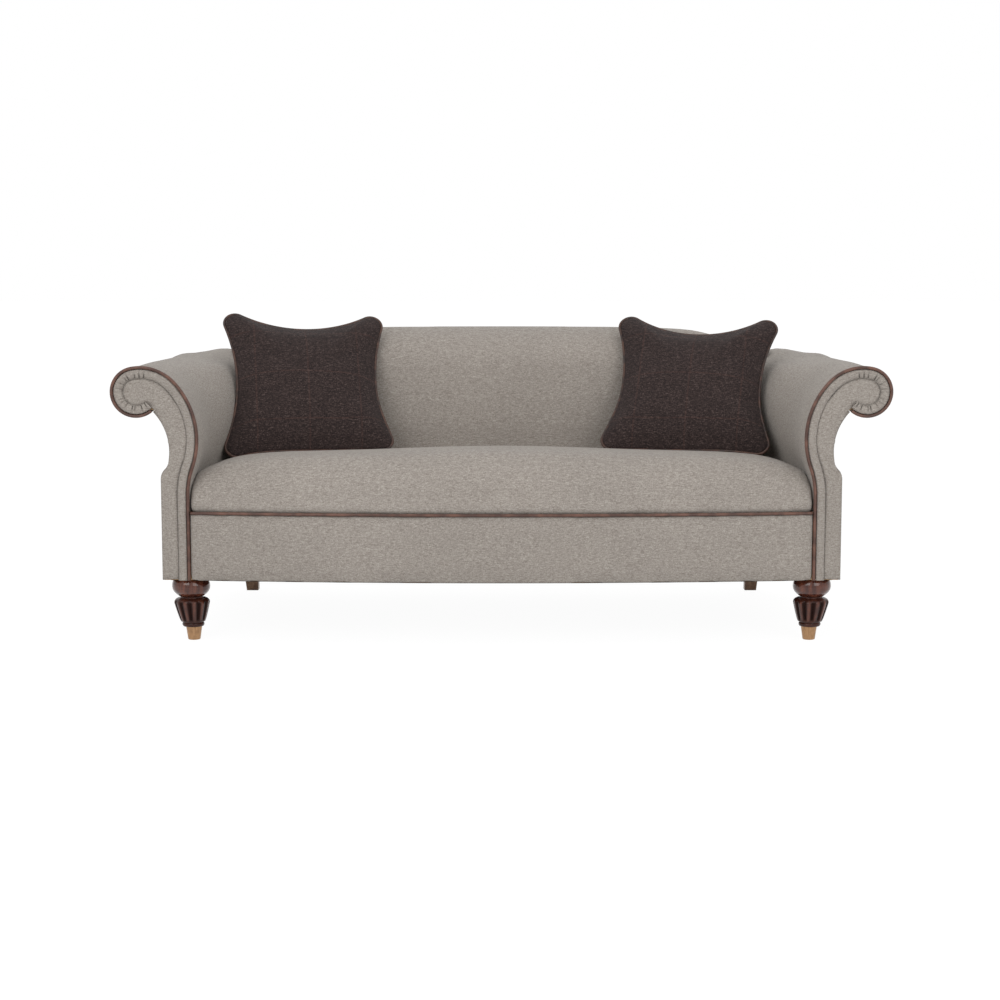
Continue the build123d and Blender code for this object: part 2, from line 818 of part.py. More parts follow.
# Back pad: raked, crowned, rolled over the top rail, its top line sweeping down to the arms
def back_section(x, top):
    """Section of the back pad at x for a height of its rolled top."""
    brow = top - back_roll_drop
    with BuildSketch(Plane.YZ.offset(x)) as section:
        with BuildLine():
            low_front = (rear_face(pad_foot) - pad_far, pad_foot)
            tuck = (rear_face(seat_rear) - pad_far, seat_rear)
            shoulder = (rear_face(brow) - pad_far, brow)
            middle_z = (seat_rear + brow) / 2
            face = ThreePointArc(tuck, (rear_face(middle_z) - pad_far - back_crown, middle_z), shoulder)
            apex = (rear_face(top) - pad_far * back_apex_share, top)
            crown = ThreePointArc(face @ 1, apex, (rear_face(back_lip), back_lip))
            Polyline(
                crown @ 1,
                (rear_face(back_lip) - pad_near, back_lip),
                (rear_face(pad_foot) - pad_near, pad_foot),
                low_front,
                tuck,
            )
        make_face()
    return section.sketch


back_stops = [(-share, drop) for share, drop in back_stations]
back_stops += [(share, drop) for share, drop in reversed(back_stations)]

with BuildPart() as back_pad:
    loft([back_section(share * arm_inner_x, back_height - drop) for share, drop in back_stops])
    add(arm_space.part, mode=Mode.SUBTRACT)

with BuildPart() as outside_back:
    with BuildSketch(at_front(reach)):
        add(arm_board(0, seat_gap, base_height))
        mirror(about=Plane.YZ)
        with Locations((0, (base_height + back_top_rail_top) / 2)):
            Rectangle(2 * arm_outer_x - 2 * outside_thickness, back_top_rail_top - base_height)
    extrude(amount=reach)
    clip_between_rakes(0, back_panel_thickness)

# Turned front leg, with a reeded vase between its ring and its bun
tenon_foot = ferrule_wall + seat_gap
tenon_low = ferrule_foot_radius - ferrule_wall - seat_gap
tenon_high = ferrule_top_radius - ferrule_wall - seat_gap
ring_top = ferrule_height + ring_height
vase_middle_radius = vase_low_radius + vase_fullness * (vase_radius - vase_low_radius)
vase_middle_height = (vase_low_height + vase_height) / 2

with BuildPart() as reed_groove:
    with BuildLine(Plane.XZ) as groove_path:
        ThreePointArc(
            (vase_low_radius - reed_low_sink, vase_low_height - reed_end_drop),
            (vase_middle_radius + reed_middle_lift, vase_middle_height),
            (vase_radius - reed_top_sink, vase_height + reed_end_rise),
        )
    with BuildSketch(Plane(groove_path.line @ 0, z_dir=groove_path.line % 0)):
        Circle(reed_groove_radius)
    sweep()

with BuildPart() as turned_leg:
    with BuildSketch(Plane.XZ):
        with BuildLine():
            Polyline((0, tenon_foot), (tenon_low, tenon_foot), (tenon_high, ferrule_height))
            shelf = Line((tenon_high, ferrule_height), (ring_radius - ring_round, ferrule_height))
            ring = ThreePointArc(
                shelf @ 1,
                (ring_radius, ferrule_height + ring_height / 2),
                (ring_radius - ring_round, ring_top),
            )
            foot = ThreePointArc(
                ring @ 1,
                (vase_low_radius - vase_foot_round, ring_top + vase_foot_round),
                (vase_low_radius, vase_low_height),
            )
            flare = ThreePointArc(
                foot @ 1, (vase_middle_radius, vase_middle_height), (vase_radius, vase_height)
            )
            cap = ThreePointArc(
                flare @ 1,
                (vase_radius - vase_cap_inset, vase_height + vase_cap_rise),
                (neck_radius, neck_height),
            )
            neck = Line(cap @ 1, (neck_radius, bun_foot_height))
            bun = ThreePointArc(neck @ 1, (bun_radius, bun_height), (bun_top_radius, base_height))
            Polyline(bun @ 1, (0, base_height), (0, tenon_foot))
        make_face()
    revolve(axis=Axis.Z)
    with PolarLocations(0, reed_count):
        add(reed_groove.part, mode=Mode.SUBTRACT)

with BuildPart() as turned_ferrule:
    with BuildSketch(Plane.XZ):
        with BuildLine():
            Polyline(
                (0, 0),
                (ferrule_foot_radius, 0),
                (ferrule_top_radius, ferrule_height - seat_gap),
                (ferrule_top_radius - ferrule_wall, ferrule_height - seat_gap),
                (ferrule_foot_radius - ferrule_wall, ferrule_wall),
                (0, ferrule_wall),
                close=True,
            )
        make_face()
    revolve(axis=Axis.Z)

with BuildPart() as tapered_leg:
    with BuildSketch():
        with Locations((0, rear_leg_kick)):
            Rectangle(rear_leg_foot, rear_leg_foot)
    for knee_height in (base_height - rear_leg_knee, base_height):
        with BuildSketch(Plane.XY.offset(knee_height)):
            Rectangle(rear_leg_top, rear_leg_top)
    loft(ruled=True)


def stand(piece, x, y):
    """Copy of a leg piece, stood on the floor at a place and bored for its bolt."""
    with BuildPart() as stood:
        with Locations((x, y, 0)):
            add(piece.part)
        add(bolt_holes.part, mode=Mode.SUBTRACT)
    return stood


left_front_leg = stand(turned_leg, -front_leg_x, front_leg_y)
right_front_leg = stand(turned_leg, front_leg_x, front_leg_y)
left_front_ferrule = stand(turned_ferrule, -front_leg_x, front_leg_y)
right_front_ferrule = stand(turned_ferrule, front_leg_x, front_leg_y)
left_rear_leg = stand(tapered_leg, -rear_leg_x, rear_leg_y)
right_rear_leg = stand(tapered_leg, rear_leg_x, rear_leg_y)


# Scatter cushions, made flat on their seam plane and then leant in the corners of the seat
def pillow_edge(extent, waist, ear):
    """Four drawn-in sides of a cushion, each an arc that runs smoothly into two round ears."""
    middle = extent - ear
    arc_centre = (2 * middle**2 - (waist - ear) ** 2) / (2 * (extent - waist))
    swing = atan2(middle, arc_centre - middle)
    near = middle - ear * sin(swing)
    far = middle + ear * cos(swing)
    tip = middle + ear * sqrt(0.5)
    ThreePointArc((near, far), (0, waist), (-near, far))
    ThreePointArc((-near, far), (-tip, tip), (-far, near))
    ThreePointArc((-far, near), (-waist, 0), (-far, -near))
    ThreePointArc((-far, -near), (-tip, -tip), (-near, -far))
    ThreePointArc((-near, -far), (0, -waist), (near, -far))
    ThreePointArc((near, -far), (tip, -tip), (far, -near))
    ThreePointArc((far, -near), (waist, 0), (far, near))
    ThreePointArc((far, near), (tip, tip), (near, far))


def pillow_half(inset, base):
    """Contours of half a cushion above its seam, set in from its full size."""
    contours = []
    for height_share, extent_share, waist_share, ear_share in cushion_contours:
        height = base + height_share * (cushion_thickness / 2 - inset - base)
        with BuildSketch(Plane.XY.offset(height)) as contour:
            with BuildLine():
                pillow_edge(
                    extent_share * (cushion_extent - inset),
                    waist_share * (cushion_waist - inset),
                    ear_share * (cushion_ear - inset),
                )
            make_face()
        contours.append(contour.sketch)
    return contours


with BuildPart() as pillow_cover:
    loft(pillow_half(0, seat_gap / 2))
    loft(pillow_half(cushion_cloth, seat_gap / 2), mode=Mode.SUBTRACT)

with BuildPart() as pillow_pad:
    loft(pillow_half(cushion_cloth + soft_gap, 0))
    mirror(about=Plane.XY)

pillow_edge_reach = cushion_piping_radius + seat_gap

with BuildPart() as pillow_piping:
    with BuildLine() as pillow_rim:
        pillow_edge(
            cushion_extent + pillow_edge_reach,
            cushion_waist + pillow_edge_reach,
            cushion_ear + pillow_edge_reach,
        )
    with BuildSketch(Plane(pillow_rim.wire() @ 0, z_dir=pillow_rim.wire() % 0)):
        Circle(cushion_piping_radius)
    sweep(path=pillow_rim.wire())


def lean(place, yaw, tilt, roll, height):
    """Placing of a cushion that is turned about the vertical, leant back and rolled in its own plane."""
    turn = radians(yaw)
    fall = radians(tilt)
    leaning = Plane(
        origin=(place[0], place[1], height),
        x_dir=(cos(turn), sin(turn), 0),
        z_dir=(cos(fall) * sin(turn), -cos(fall) * cos(turn), sin(fall)),
    )
    return leaning.location * Rotation(0, 0, roll)


def resting_height(place, yaw, tilt, roll):
    """Height of a cushion's middle at which its piping just clears the seat pad."""
    height = seat_crest + cushion_extent + cushion_thickness
    for step in range(cushion_drop_steps):
        gap = pillow_piping.part.moved(lean(place, yaw, tilt, roll, height)).distance_to(seat_pad.part)
        height -= gap - seat_gap
    return height


def lay(piece, spot):
    """Copy of a flat cushion piece, leant at its place."""
    with BuildPart() as laid:
        with Locations(spot):
            add(piece)
    return laid


back_tuck_y = rear_face(seat_rear) - pad_far
left_cushion_place = (left_cushion_inset - arm_inner_x, back_tuck_y - left_cushion_setback)
right_cushion_place = (arm_inner_x - right_cushion_inset, back_tuck_y - right_cushion_setback)
left_spot = lean(
    left_cushion_place,
    left_cushion_yaw,
    left_cushion_tilt,
    left_cushion_roll,
    resting_height(left_cushion_place, left_cushion_yaw, left_cushion_tilt, left_cushion_roll),
)
right_spot = lean(
    right_cushion_place,
    right_cushion_yaw,
    right_cushion_tilt,
    right_cushion_roll,
    resting_height(right_cushion_place, right_cushion_yaw, right_cushion_tilt, right_cushion_roll),
)
pillow_back = pillow_cover.part.mirror(Plane.XY)
left_cushion_front = lay(pillow_cover.part, left_spot)
left_cushion_back = lay(pillow_back, left_spot)
left_cushion_pad = lay(pillow_pad.part, left_spot)
left_cushion_piping = lay(pillow_piping.part, left_spot)
right_cushion_front = lay(pillow_cover.part, right_spot)
right_cushion_back = lay(pillow_back, right_spot)
right_cushion_pad = lay(pillow_pad.part, right_spot)
right_cushion_piping = lay(pillow_piping.part, right_spot)

pieces = {
    "front_seat_rail": front_seat_rail,
    "back_seat_rail": back_seat_rail,
    "left_side_rail": left_side_rail,
    "right_side_rail": right_side_rail,
    "seat_centre_bearer": seat_centre_bearer,
    "corner_blocks": corner_blocks,
    "block_screws": block_screws,
    "frame_dowels": frame_dowels,
    "leg_bolts": leg_bolts,
    "left_arm_front_post": left_arm_front_post,
    "right_arm_front_post": right_arm_front_post,
    "left_arm_rear_post": left_arm_rear_post,
    "right_arm_rear_post": right_arm_rear_post,
    "left_arm_roll_rail": left_arm_roll_rail,
    "right_arm_roll_rail": right_arm_roll_rail,
    "left_arm_tacking_rail": left_arm_tacking_rail,
    "right_arm_tacking_rail": right_arm_tacking_rail,
    "left_back_post": left_back_post,
    "right_back_post": right_back_post,
    "back_top_rail": back_top_rail,
    "back_tacking_rail": back_tacking_rail,
    "left_back_upright": left_back_upright,
    "right_back_upright": right_back_upright,
    "seat_springs": seat_springs,
    "spring_clips": spring_clips,
    "seat_hessian": seat_hessian,
    "back_webbing": back_webbing,
    "left_arm_webbing": left_arm_webbing,
    "right_arm_webbing": right_arm_webbing,
    "seat_pad": seat_pad,
    "front_border": front_border,
    "seat_piping": seat_piping,
    "back_pad": back_pad,
    "outside_back": outside_back,
    "dust_cover": dust_cover,
    "left_arm_pad": left_arm_pad,
    "right_arm_pad": right_arm_pad,
    "left_outside_arm": left_outside_arm,
    "right_outside_arm": right_outside_arm,
    "left_facing_panel": left_facing_panel,
    "right_facing_panel": right_facing_panel,
    "left_facing_border": left_facing_border,
    "right_facing_border": right_facing_border,
    "left_arm_piping": left_arm_piping,
    "right_arm_piping": right_arm_piping,
    "left_front_leg": left_front_leg,
    "right_front_leg": right_front_leg,
    "left_front_ferrule": left_front_ferrule,
    "right_front_ferrule": right_front_ferrule,
    "left_rear_leg": left_rear_leg,
    "right_rear_leg": right_rear_leg,
    "left_cushion_front": left_cushion_front,
    "left_cushion_back": left_cushion_back,
    "left_cushion_pad": left_cushion_pad,
    "left_cushion_piping": left_cushion_piping,
    "right_cushion_front": right_cushion_front,
    "right_cushion_back": right_cushion_back,
    "right_cushion_pad": right_cushion_pad,
    "right_cushion_piping": right_cushion_piping,
}

os.makedirs("parts", exist_ok=True)
for name, piece in pieces.items():
    piece.part.label = name
    export_step(piece.part, f"parts/{name}.step")
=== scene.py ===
"""Looks of a scroll-arm sofa with a tight sprung seat, a tight back and two scatter cushions.

Metres. X runs along the sofa, the front faces -Y and the floor is Z = 0.
"""

from __future__ import annotations

import json
import logging
import math
from collections.abc import Callable, Sequence
from dataclasses import dataclass
from enum import Enum

import bmesh
import bpy
import numpy as np
from mathutils import Matrix, Vector
from mathutils.bvhtree import BVHTree


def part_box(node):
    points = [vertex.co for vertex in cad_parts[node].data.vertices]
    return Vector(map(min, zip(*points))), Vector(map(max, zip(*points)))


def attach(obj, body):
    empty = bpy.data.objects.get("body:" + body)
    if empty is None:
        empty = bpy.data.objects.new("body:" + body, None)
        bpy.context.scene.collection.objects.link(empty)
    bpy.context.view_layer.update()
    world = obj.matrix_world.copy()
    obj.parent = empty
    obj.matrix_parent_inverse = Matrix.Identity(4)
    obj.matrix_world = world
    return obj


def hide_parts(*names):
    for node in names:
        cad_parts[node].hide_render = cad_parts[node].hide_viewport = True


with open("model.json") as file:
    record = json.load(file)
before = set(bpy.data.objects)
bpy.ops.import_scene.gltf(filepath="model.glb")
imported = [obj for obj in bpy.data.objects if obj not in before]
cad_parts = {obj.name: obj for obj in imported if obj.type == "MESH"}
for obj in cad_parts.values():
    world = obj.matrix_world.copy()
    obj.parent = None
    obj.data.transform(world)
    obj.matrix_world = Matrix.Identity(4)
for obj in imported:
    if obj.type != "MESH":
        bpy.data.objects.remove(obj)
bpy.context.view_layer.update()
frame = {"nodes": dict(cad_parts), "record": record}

log = logging.getLogger("sofa")
Colour = tuple[float, float, float]
Span = tuple[float, float]
Reach = Callable[[np.ndarray, np.ndarray], np.ndarray]


def paint(red: float, green: float, blue: float) -> Colour:
    """Give the linear colour for red, green and blue out of 255."""
    parts = (level / 255 for level in (red, green, blue))
    return tuple(p / 12.92 if p <= 0.04045 else ((p + 0.055) / 1.055) ** 2.4 for p in parts)


class Side(Enum):
    """The two ends of the sofa, by the sign of X."""

    LEFT = -1
    RIGHT = 1

    @property
    def word(self) -> str:
        """Name the side as the CAD nodes do."""
        return self.name.lower()


class Fill(Enum):
    """How tightly a padded piece is stuffed."""

    PLUMP = 0.7
    FIRM = 0.85
    TIGHT = 0.95


class Value:
    """A shader socket that carries one number, with arithmetic written as Python."""

    def __init__(self, sheet: "NodeSheet", socket: bpy.types.NodeSocket) -> None:
        """Wrap a socket.

        Args:
            sheet: The node sheet that the socket is on.
            socket: The socket that gives the number.
        """
        self.sheet = sheet
        self.socket = socket

    def math(self, operation: str, first: "Value | float", second: "Value | float") -> "Value":
        """Add a Math node.

        Args:
            operation: The node's operation.
            first: Its first value.
            second: Its second value.

        Returns:
            The node's result.
        """
        made = self.sheet.node("ShaderNodeMath", {"operation": operation}, {0: first, 1: second})
        return Value(self.sheet, made.outputs[0])

    def __add__(self, other: "Value | float") -> "Value":
        """Add."""
        return self.math("ADD", self, other)

    __radd__ = __add__

    def __sub__(self, other: "Value | float") -> "Value":
        """Subtract."""
        return self.math("SUBTRACT", self, other)

    def __rsub__(self, other: float) -> "Value":
        """Subtract from a number."""
        return self.math("SUBTRACT", other, self)

    def __mul__(self, other: "Value | float") -> "Value":
        """Multiply."""
        return self.math("MULTIPLY", self, other)

    __rmul__ = __mul__

    def sine(self) -> "Value":
        """Give the sine."""
        return self.math("SINE", self, 0.0)

    def size(self) -> "Value":
        """Give the value without its sign."""
        return self.math("ABSOLUTE", self, 0.0)

    def ease(self, low: float, high: float) -> "Value":
        """Rise smoothly from 0 to 1.

        Args:
            low: Where the rise starts.
            high: Where it ends.

        Returns:
            The eased value.
        """
        made = self.sheet.node(
            "ShaderNodeMapRange",
            {"interpolation_type": "SMOOTHSTEP"},
            {"Value": self, "From Min": low, "From Max": high},
        )
        return Value(self.sheet, made.outputs[0])


class NodeSheet:
    """The node tree of one material, with short ways to add its nodes."""

    def __init__(self, name: str) -> None:
        """Start an empty material.

        Args:
            name: The material's name.
        """
        self.material = bpy.data.materials.new(name)
        self.material.use_nodes = True
        self.tree = self.material.node_tree
        self.tree.nodes.clear()
        self.out = self.node("ShaderNodeOutputMaterial")
        self.coords = self.node("ShaderNodeTexCoord").outputs["Object"]

    def node(self, kind: str, settings: dict | None = None, sockets: dict | None = None) -> bpy.types.Node:
        """Add a node.

        Args:
            kind: The node's type.
            settings: Its properties; a ramp's are its stops.
            sockets: Values or links for its inputs.

        Returns:
            The node.
        """
        made = self.tree.nodes.new(kind)
        for key, value in (settings or {}).items():
            if key == "stops":
                self.set_stops(made.color_ramp, value)
            else:
                setattr(made, key, value)
        for key, value in (sockets or {}).items():
            self.feed(made.inputs[key], value)
        return made

    @staticmethod
    def set_stops(ramp: bpy.types.ColorRamp, stops: Sequence[tuple[float, Colour]]) -> None:
        """Give a ramp its stops.

        Args:
            ramp: The ramp.
            stops: Places from 0 to 1, each with a colour.
        """
        while len(ramp.elements) < len(stops):
            ramp.elements.new(1.0)
        for element, (place, colour) in zip(ramp.elements, stops):
            element.position = place
            element.color = (*colour, 1.0)

    def feed(self, socket: bpy.types.NodeSocket, value: object) -> None:
        """Link or set one input.

        Args:
            socket: The input.
            value: A value, a socket, a number or a colour.
        """
        if isinstance(value, Value):
            self.tree.links.new(value.socket, socket)
        elif isinstance(value, bpy.types.NodeSocket):
            self.tree.links.new(value, socket)
        elif isinstance(value, tuple) and len(socket.default_value) == 4:
            socket.default_value = (*value, 1.0)
        else:
            socket.default_value = value

    def noise(self, scale: Colour | float, detail: float = 2.0, roughness: float = 0.5) -> Value:
        """Give noise of a size along each axis.

        Args:
            scale: Repeats in a metre along X, Y and Z, or one number for all three.
            detail: Octaves.
            roughness: Weight of the finer octaves.

        Returns:
            Values about 0.5.
        """
        repeats = scale if isinstance(scale, tuple) else (scale, scale, scale)
        mapped = self.node("ShaderNodeMapping", {}, {"Vector": self.coords, "Scale": repeats}).outputs[0]
        sockets = {"Vector": mapped, "Scale": 1.0, "Detail": detail, "Roughness": roughness}
        return Value(self, self.node("ShaderNodeTexNoise", {}, sockets).outputs[0])

    def cells(self, scale: float) -> Value:
        """Give the distance to the nearest of scattered points, with a number of them in a metre."""
        made = self.node("ShaderNodeTexVoronoi", {}, {"Vector": self.coords, "Scale": scale})
        return Value(self, made.outputs["Distance"])

    def attribute(self, name: str) -> Value:
        """Read a number that the piece's mesh keeps at its points."""
        made = self.node("ShaderNodeAttribute", {"attribute_name": name})
        return Value(self, made.outputs["Fac"])

    def axes(self, vector: bpy.types.NodeSocket) -> list[Value]:
        """Split a vector into its three values."""
        made = self.node("ShaderNodeSeparateXYZ", {}, {0: vector})
        return [Value(self, made.outputs[axis]) for axis in range(3)]

    def ramp(self, value: Value, stops: Sequence[tuple[float, Colour]]) -> bpy.types.NodeSocket:
        """Colour a value by a ramp.

        Args:
            value: The value from 0 to 1.
            stops: Places with colours.

        Returns:
            The colour socket.
        """
        return self.node("ShaderNodeValToRGB", {"stops": stops}, {0: value}).outputs[0]

    def mix(
        self, share: Value | float, first: object, second: object, way: str = "MIX"
    ) -> bpy.types.NodeSocket:
        """Mix two colours.

        Args:
            share: How much of the second colour.
            first: The first colour.
            second: The second colour.
            way: The blending.

        Returns:
            The colour socket.
        """
        settings = {"data_type": "RGBA", "blend_type": way}
        return self.node("ShaderNodeMix", settings, {0: share, 6: first, 7: second}).outputs[2]

    def bump(self, height: Value, strength: float, depth: float) -> bpy.types.NodeSocket:
        """Raise the surface by a height.

        Args:
            height: Values from 0 to 1.
            strength: How much of the effect shows.
            depth: The height in metres that 1 stands for.

        Returns:
            The normal socket.
        """
        made = self.node("ShaderNodeBump", {}, {"Strength": strength, "Distance": depth, "Height": height})
        return made.outputs[0]

    def close(self, **sockets: object) -> bpy.types.Material:
        """End the sheet with a Principled shader.

        Args:
            sockets: Its inputs, with spaces written as underscores.

        Returns:
            The finished material.
        """
        named = {key.replace("_", " "): value for key, value in sockets.items()}
        shader = self.node("ShaderNodeBsdfPrincipled", {}, named)
        self.feed(self.out.inputs["Surface"], shader.outputs[0])
        return self.material


@dataclass(frozen=True)
class TweedFinish:
    """Woven wool tweed, of four yarns, with slubs, a visible weave and painted shade in its pleats and
    seams.
    """

    name: str
    yarns: tuple[Colour, Colour, Colour, Colour]
    thread: float = 0.0016
    fleck: float = 340.0
    slub: float = 105.0
    drift: float = 4.0
    steps: tuple[float, float, float, float] = (0.34, 0.46, 0.55, 0.68)
    relief: float = 0.0007
    # Colour of the painted shade laid into pleats and along seams.
    fold: Colour = paint(52, 47, 43)
    check: Colour | None = None
    check_pitch: float = 0.14
    check_share: float = 0.26
    sheen: float = 0.12

    def weave(self, sheet: NodeSheet) -> Value:
        """Weave threads on whichever axis plane each face lies nearest to."""
        pitch = math.tau / self.thread
        waves = [(axis * pitch).sine() for axis in sheet.axes(sheet.coords)]
        normal = sheet.node("ShaderNodeNewGeometry").outputs["Normal"]
        facing = [axis * axis for axis in sheet.axes(normal)]
        pairs = ((1, 2), (0, 2), (0, 1))
        knots = [waves[one] * waves[other] * near for (one, other), near in zip(pairs, facing)]
        return (knots[0] + knots[1] + knots[2]) * 0.5 + 0.5

    def build(self) -> bpy.types.Material:
        """Make the material."""
        sheet = NodeSheet(self.name)
        fleck = sheet.noise(self.fleck, 3.0, 0.65)
        slub = sheet.noise((self.slub, self.slub, self.slub * 3.4), 3.0, 0.6)
        drift = sheet.noise(self.drift)
        knots = self.weave(sheet)
        yarn = fleck * 0.55 + slub * 0.45
        stops = tuple(zip(self.steps, self.yarns))
        colour = sheet.ramp(yarn + (knots - 0.5) * 0.06, stops)
        shade = sheet.ramp(drift, ((0.3, (0.93, 0.93, 0.93)), (0.7, (1.0, 1.0, 1.0))))
        colour = sheet.mix(1.0, colour, shade, "MULTIPLY")
        if self.check:
            lines = self.lines(sheet) * slub.ease(0.3, 0.6)
            colour = sheet.mix(lines * self.check_share, colour, self.check)
        # Painted shade: darker towards the shade colour where a piece's mesh gives it a pleat or seam value.
        colour = sheet.mix(sheet.attribute("fold"), colour, self.fold)
        normal = sheet.bump(knots * 0.6 + fleck * 0.8, 0.45, self.relief)
        return sheet.close(
            Base_Color=colour,
            Roughness=0.85 + (slub - 0.5) * 0.2,
            Normal=normal,
            Specular_IOR_Level=0.25,
            Sheen_Weight=self.sheen,
            Sheen_Roughness=0.5,
        )

    def lines(self, sheet: NodeSheet) -> Value:
        """Draw the thin lines of an overcheck, along the cloth's own two directions."""
        first, second = (sheet.attribute(name) for name in ("across", "along"))
        pitch = math.pi / self.check_pitch
        near = [1 - (way * pitch).sine().size().ease(0.0, 0.08) for way in (first, second)]
        return near[0].math("MAXIMUM", near[0], near[1])


@dataclass(frozen=True)
class LeatherFinish:
    """Brown leather, paler in random patches, with fine grain and creases."""

    name: str
    deep: Colour
    worn: Colour
    patches: float = 30.0
    creases: float = 260.0
    pores: float = 900.0
    relief: float = 0.0006

    def build(self) -> bpy.types.Material:
        """Make the material."""
        sheet = NodeSheet(self.name)
        tone = sheet.noise(self.patches, 3.0, 0.6)
        grain = sheet.cells(self.pores)
        crease = sheet.noise(self.creases, 3.0, 0.6)
        colour = sheet.mix(tone.ease(0.35, 0.68), self.deep, self.worn)
        colour = sheet.mix(crease.ease(0.56, 0.7) * 0.35, colour, self.deep)
        normal = sheet.bump(grain * 0.5 + crease * 0.8, 0.4, self.relief)
        return sheet.close(
            Base_Color=colour,
            Roughness=0.36 + tone * 0.22,
            Normal=normal,
            Specular_IOR_Level=0.5,
            Coat_Weight=0.08,
            Coat_Roughness=0.3,
        )


@dataclass(frozen=True)
class WoodFinish:
    """Timber with its grain along one axis, bare or polished, with painted shade where a piece's mesh calls
    for it.
    """

    name: str
    deep: Colour
    light: Colour
    grain: Colour
    roughness: float
    polish: float
    # Colour of the painted shade on the turned legs.
    groove: Colour = paint(34, 15, 10)
    wear: float = 22.0
    relief: float = 0.0003

    def build(self) -> bpy.types.Material:
        """Make the material."""
        sheet = NodeSheet(self.name)
        figure = sheet.noise(self.grain, 4.0, 0.6)
        pores = sheet.noise(tuple(3.2 * repeats for repeats in self.grain), 2.0, 0.5)
        worn = sheet.noise(self.wear)
        colour = sheet.mix(figure.ease(0.36, 0.66), self.deep, self.light)
        colour = sheet.mix(pores.ease(0.58, 0.7) * 0.5, colour, self.deep)
        # Painted shade from the leg's mesh value: the higher it is, the nearer the colour comes to the shade
        # colour and the less coat is left.
        groove = sheet.attribute("groove")
        colour = sheet.mix(groove, colour, self.groove)
        normal = sheet.bump(pores, 0.12, self.relief)
        return sheet.close(
            Base_Color=colour,
            Roughness=self.roughness + (worn - 0.5) * 0.2,
            Normal=normal,
            Specular_IOR_Level=0.08,
            Coat_Weight=(1 - groove) * self.polish,
            Coat_Roughness=0.12,
        )


@dataclass(frozen=True)
class MetalFinish:
    """Worked metal, drawn out in fine streaks and dulled in patches."""

    name: str
    bright: Colour
    dull: Colour
    streaks: Colour
    roughness: float
    patches: float = 60.0
    relief: float = 0.0004

    def build(self) -> bpy.types.Material:
        """Make the material."""
        sheet = NodeSheet(self.name)
        drawn = sheet.noise(self.streaks, 3.0, 0.6)
        patina = sheet.noise(self.patches, 3.0, 0.6)
        dulled = drawn.ease(0.35, 0.65) * 0.7 + patina.ease(0.5, 0.7) * 0.3
        colour = sheet.mix(dulled, self.bright, self.dull)
        return sheet.close(
            Base_Color=colour,
            Metallic=0.9 - patina.ease(0.45, 0.75) * 0.25,
            Roughness=self.roughness + drawn * 0.2,
            Normal=sheet.bump(drawn, 0.1, self.relief),
        )


@dataclass(frozen=True)
class ClothFinish:
    """Plain cloth of two shades of thread, for the linings and the inside."""

    name: str
    dark: Colour
    light: Colour
    thread: float
    fibres: float = 300.0
    relief: float = 0.0005

    def build(self) -> bpy.types.Material:
        """Make the material."""
        sheet = NodeSheet(self.name)
        pitch = math.tau / self.thread
        across, deep, high = ((axis * pitch).sine() for axis in sheet.axes(sheet.coords))
        weave = across * deep * 0.25 + across * high * 0.25 + 0.5
        fibre = sheet.noise(self.fibres, 3.0, 0.6)
        colour = sheet.mix((weave * 0.6 + fibre * 0.4).ease(0.35, 0.65), self.dark, self.light)
        return sheet.close(
            Base_Color=colour,
            Roughness=0.8 + fibre * 0.2,
            Normal=sheet.bump(weave + fibre * 0.4, 0.4, self.relief),
            Specular_IOR_Level=0.2,
        )


class Finishes:
    """Every material of the sofa, made once, by the record's slot names."""

    def __init__(self) -> None:
        """Make the materials."""
        made = {
            "tweed": TweedFinish(
                "taupe_tweed",
                (paint(124, 114, 106), paint(147, 139, 132), paint(161, 154, 146), paint(186, 179, 170)),
            ),
            "dark_tweed": TweedFinish(
                "brown_tweed",
                (paint(22, 15, 15), paint(42, 32, 31), paint(58, 46, 44), paint(98, 84, 80)),
                fleck=310.0,
                # Painted shade colour for the brown tweed.
                fold=paint(22, 17, 17),
                check=paint(96, 66, 58),
                sheen=0.04,
            ),
            "leather_trim": LeatherFinish("piping_leather", paint(72, 46, 37), paint(110, 75, 61)),
            "mahogany": WoodFinish(
                "polished_mahogany", paint(68, 34, 26), paint(108, 61, 45), (70.0, 70.0, 9.0), 0.24, 0.9
            ),
            "beech": WoodFinish(
                "planed_beech", paint(176, 140, 100), paint(206, 172, 128), (8.0, 60.0, 60.0), 0.6, 0.0
            ),
            "brass_ferrule": MetalFinish(
                "satin_brass", paint(178, 140, 104), paint(148, 114, 82), (420.0, 420.0, 12.0), 0.3
            ),
            "steel": MetalFinish(
                "drawn_steel", paint(176, 177, 180), paint(120, 121, 124), (60.0, 300.0, 300.0), 0.28
            ),
            "hessian": ClothFinish("jute_hessian", paint(122, 98, 64), paint(178, 150, 106), 0.003),
            "webbing": ClothFinish("elastic_webbing", paint(44, 42, 40), paint(84, 80, 76), 0.002),
            "under_cloth": ClothFinish("black_cambric", paint(18, 18, 18), paint(38, 38, 38), 0.0008),
            "feather_ticking": ClothFinish(
                "cotton_ticking", paint(206, 203, 196), paint(232, 230, 224), 0.0008
            ),
        }
        self.by_slot = {slot: finish.build() for slot, finish in made.items()}
        # A darker copy of the piping leather, used only on the cushions' piping.
        self.dark_leather = LeatherFinish("cushion_leather", paint(42, 27, 22), paint(82, 54, 42)).build()
        # A lighter copy of the mahogany, which paints light onto the rear legs where they stand in shade
        # under the sofa.
        self.tan_wood = WoodFinish(
            "tan_wood", paint(112, 86, 68), paint(146, 117, 94), (70.0, 70.0, 9.0), 0.4, 0.1
        ).build()


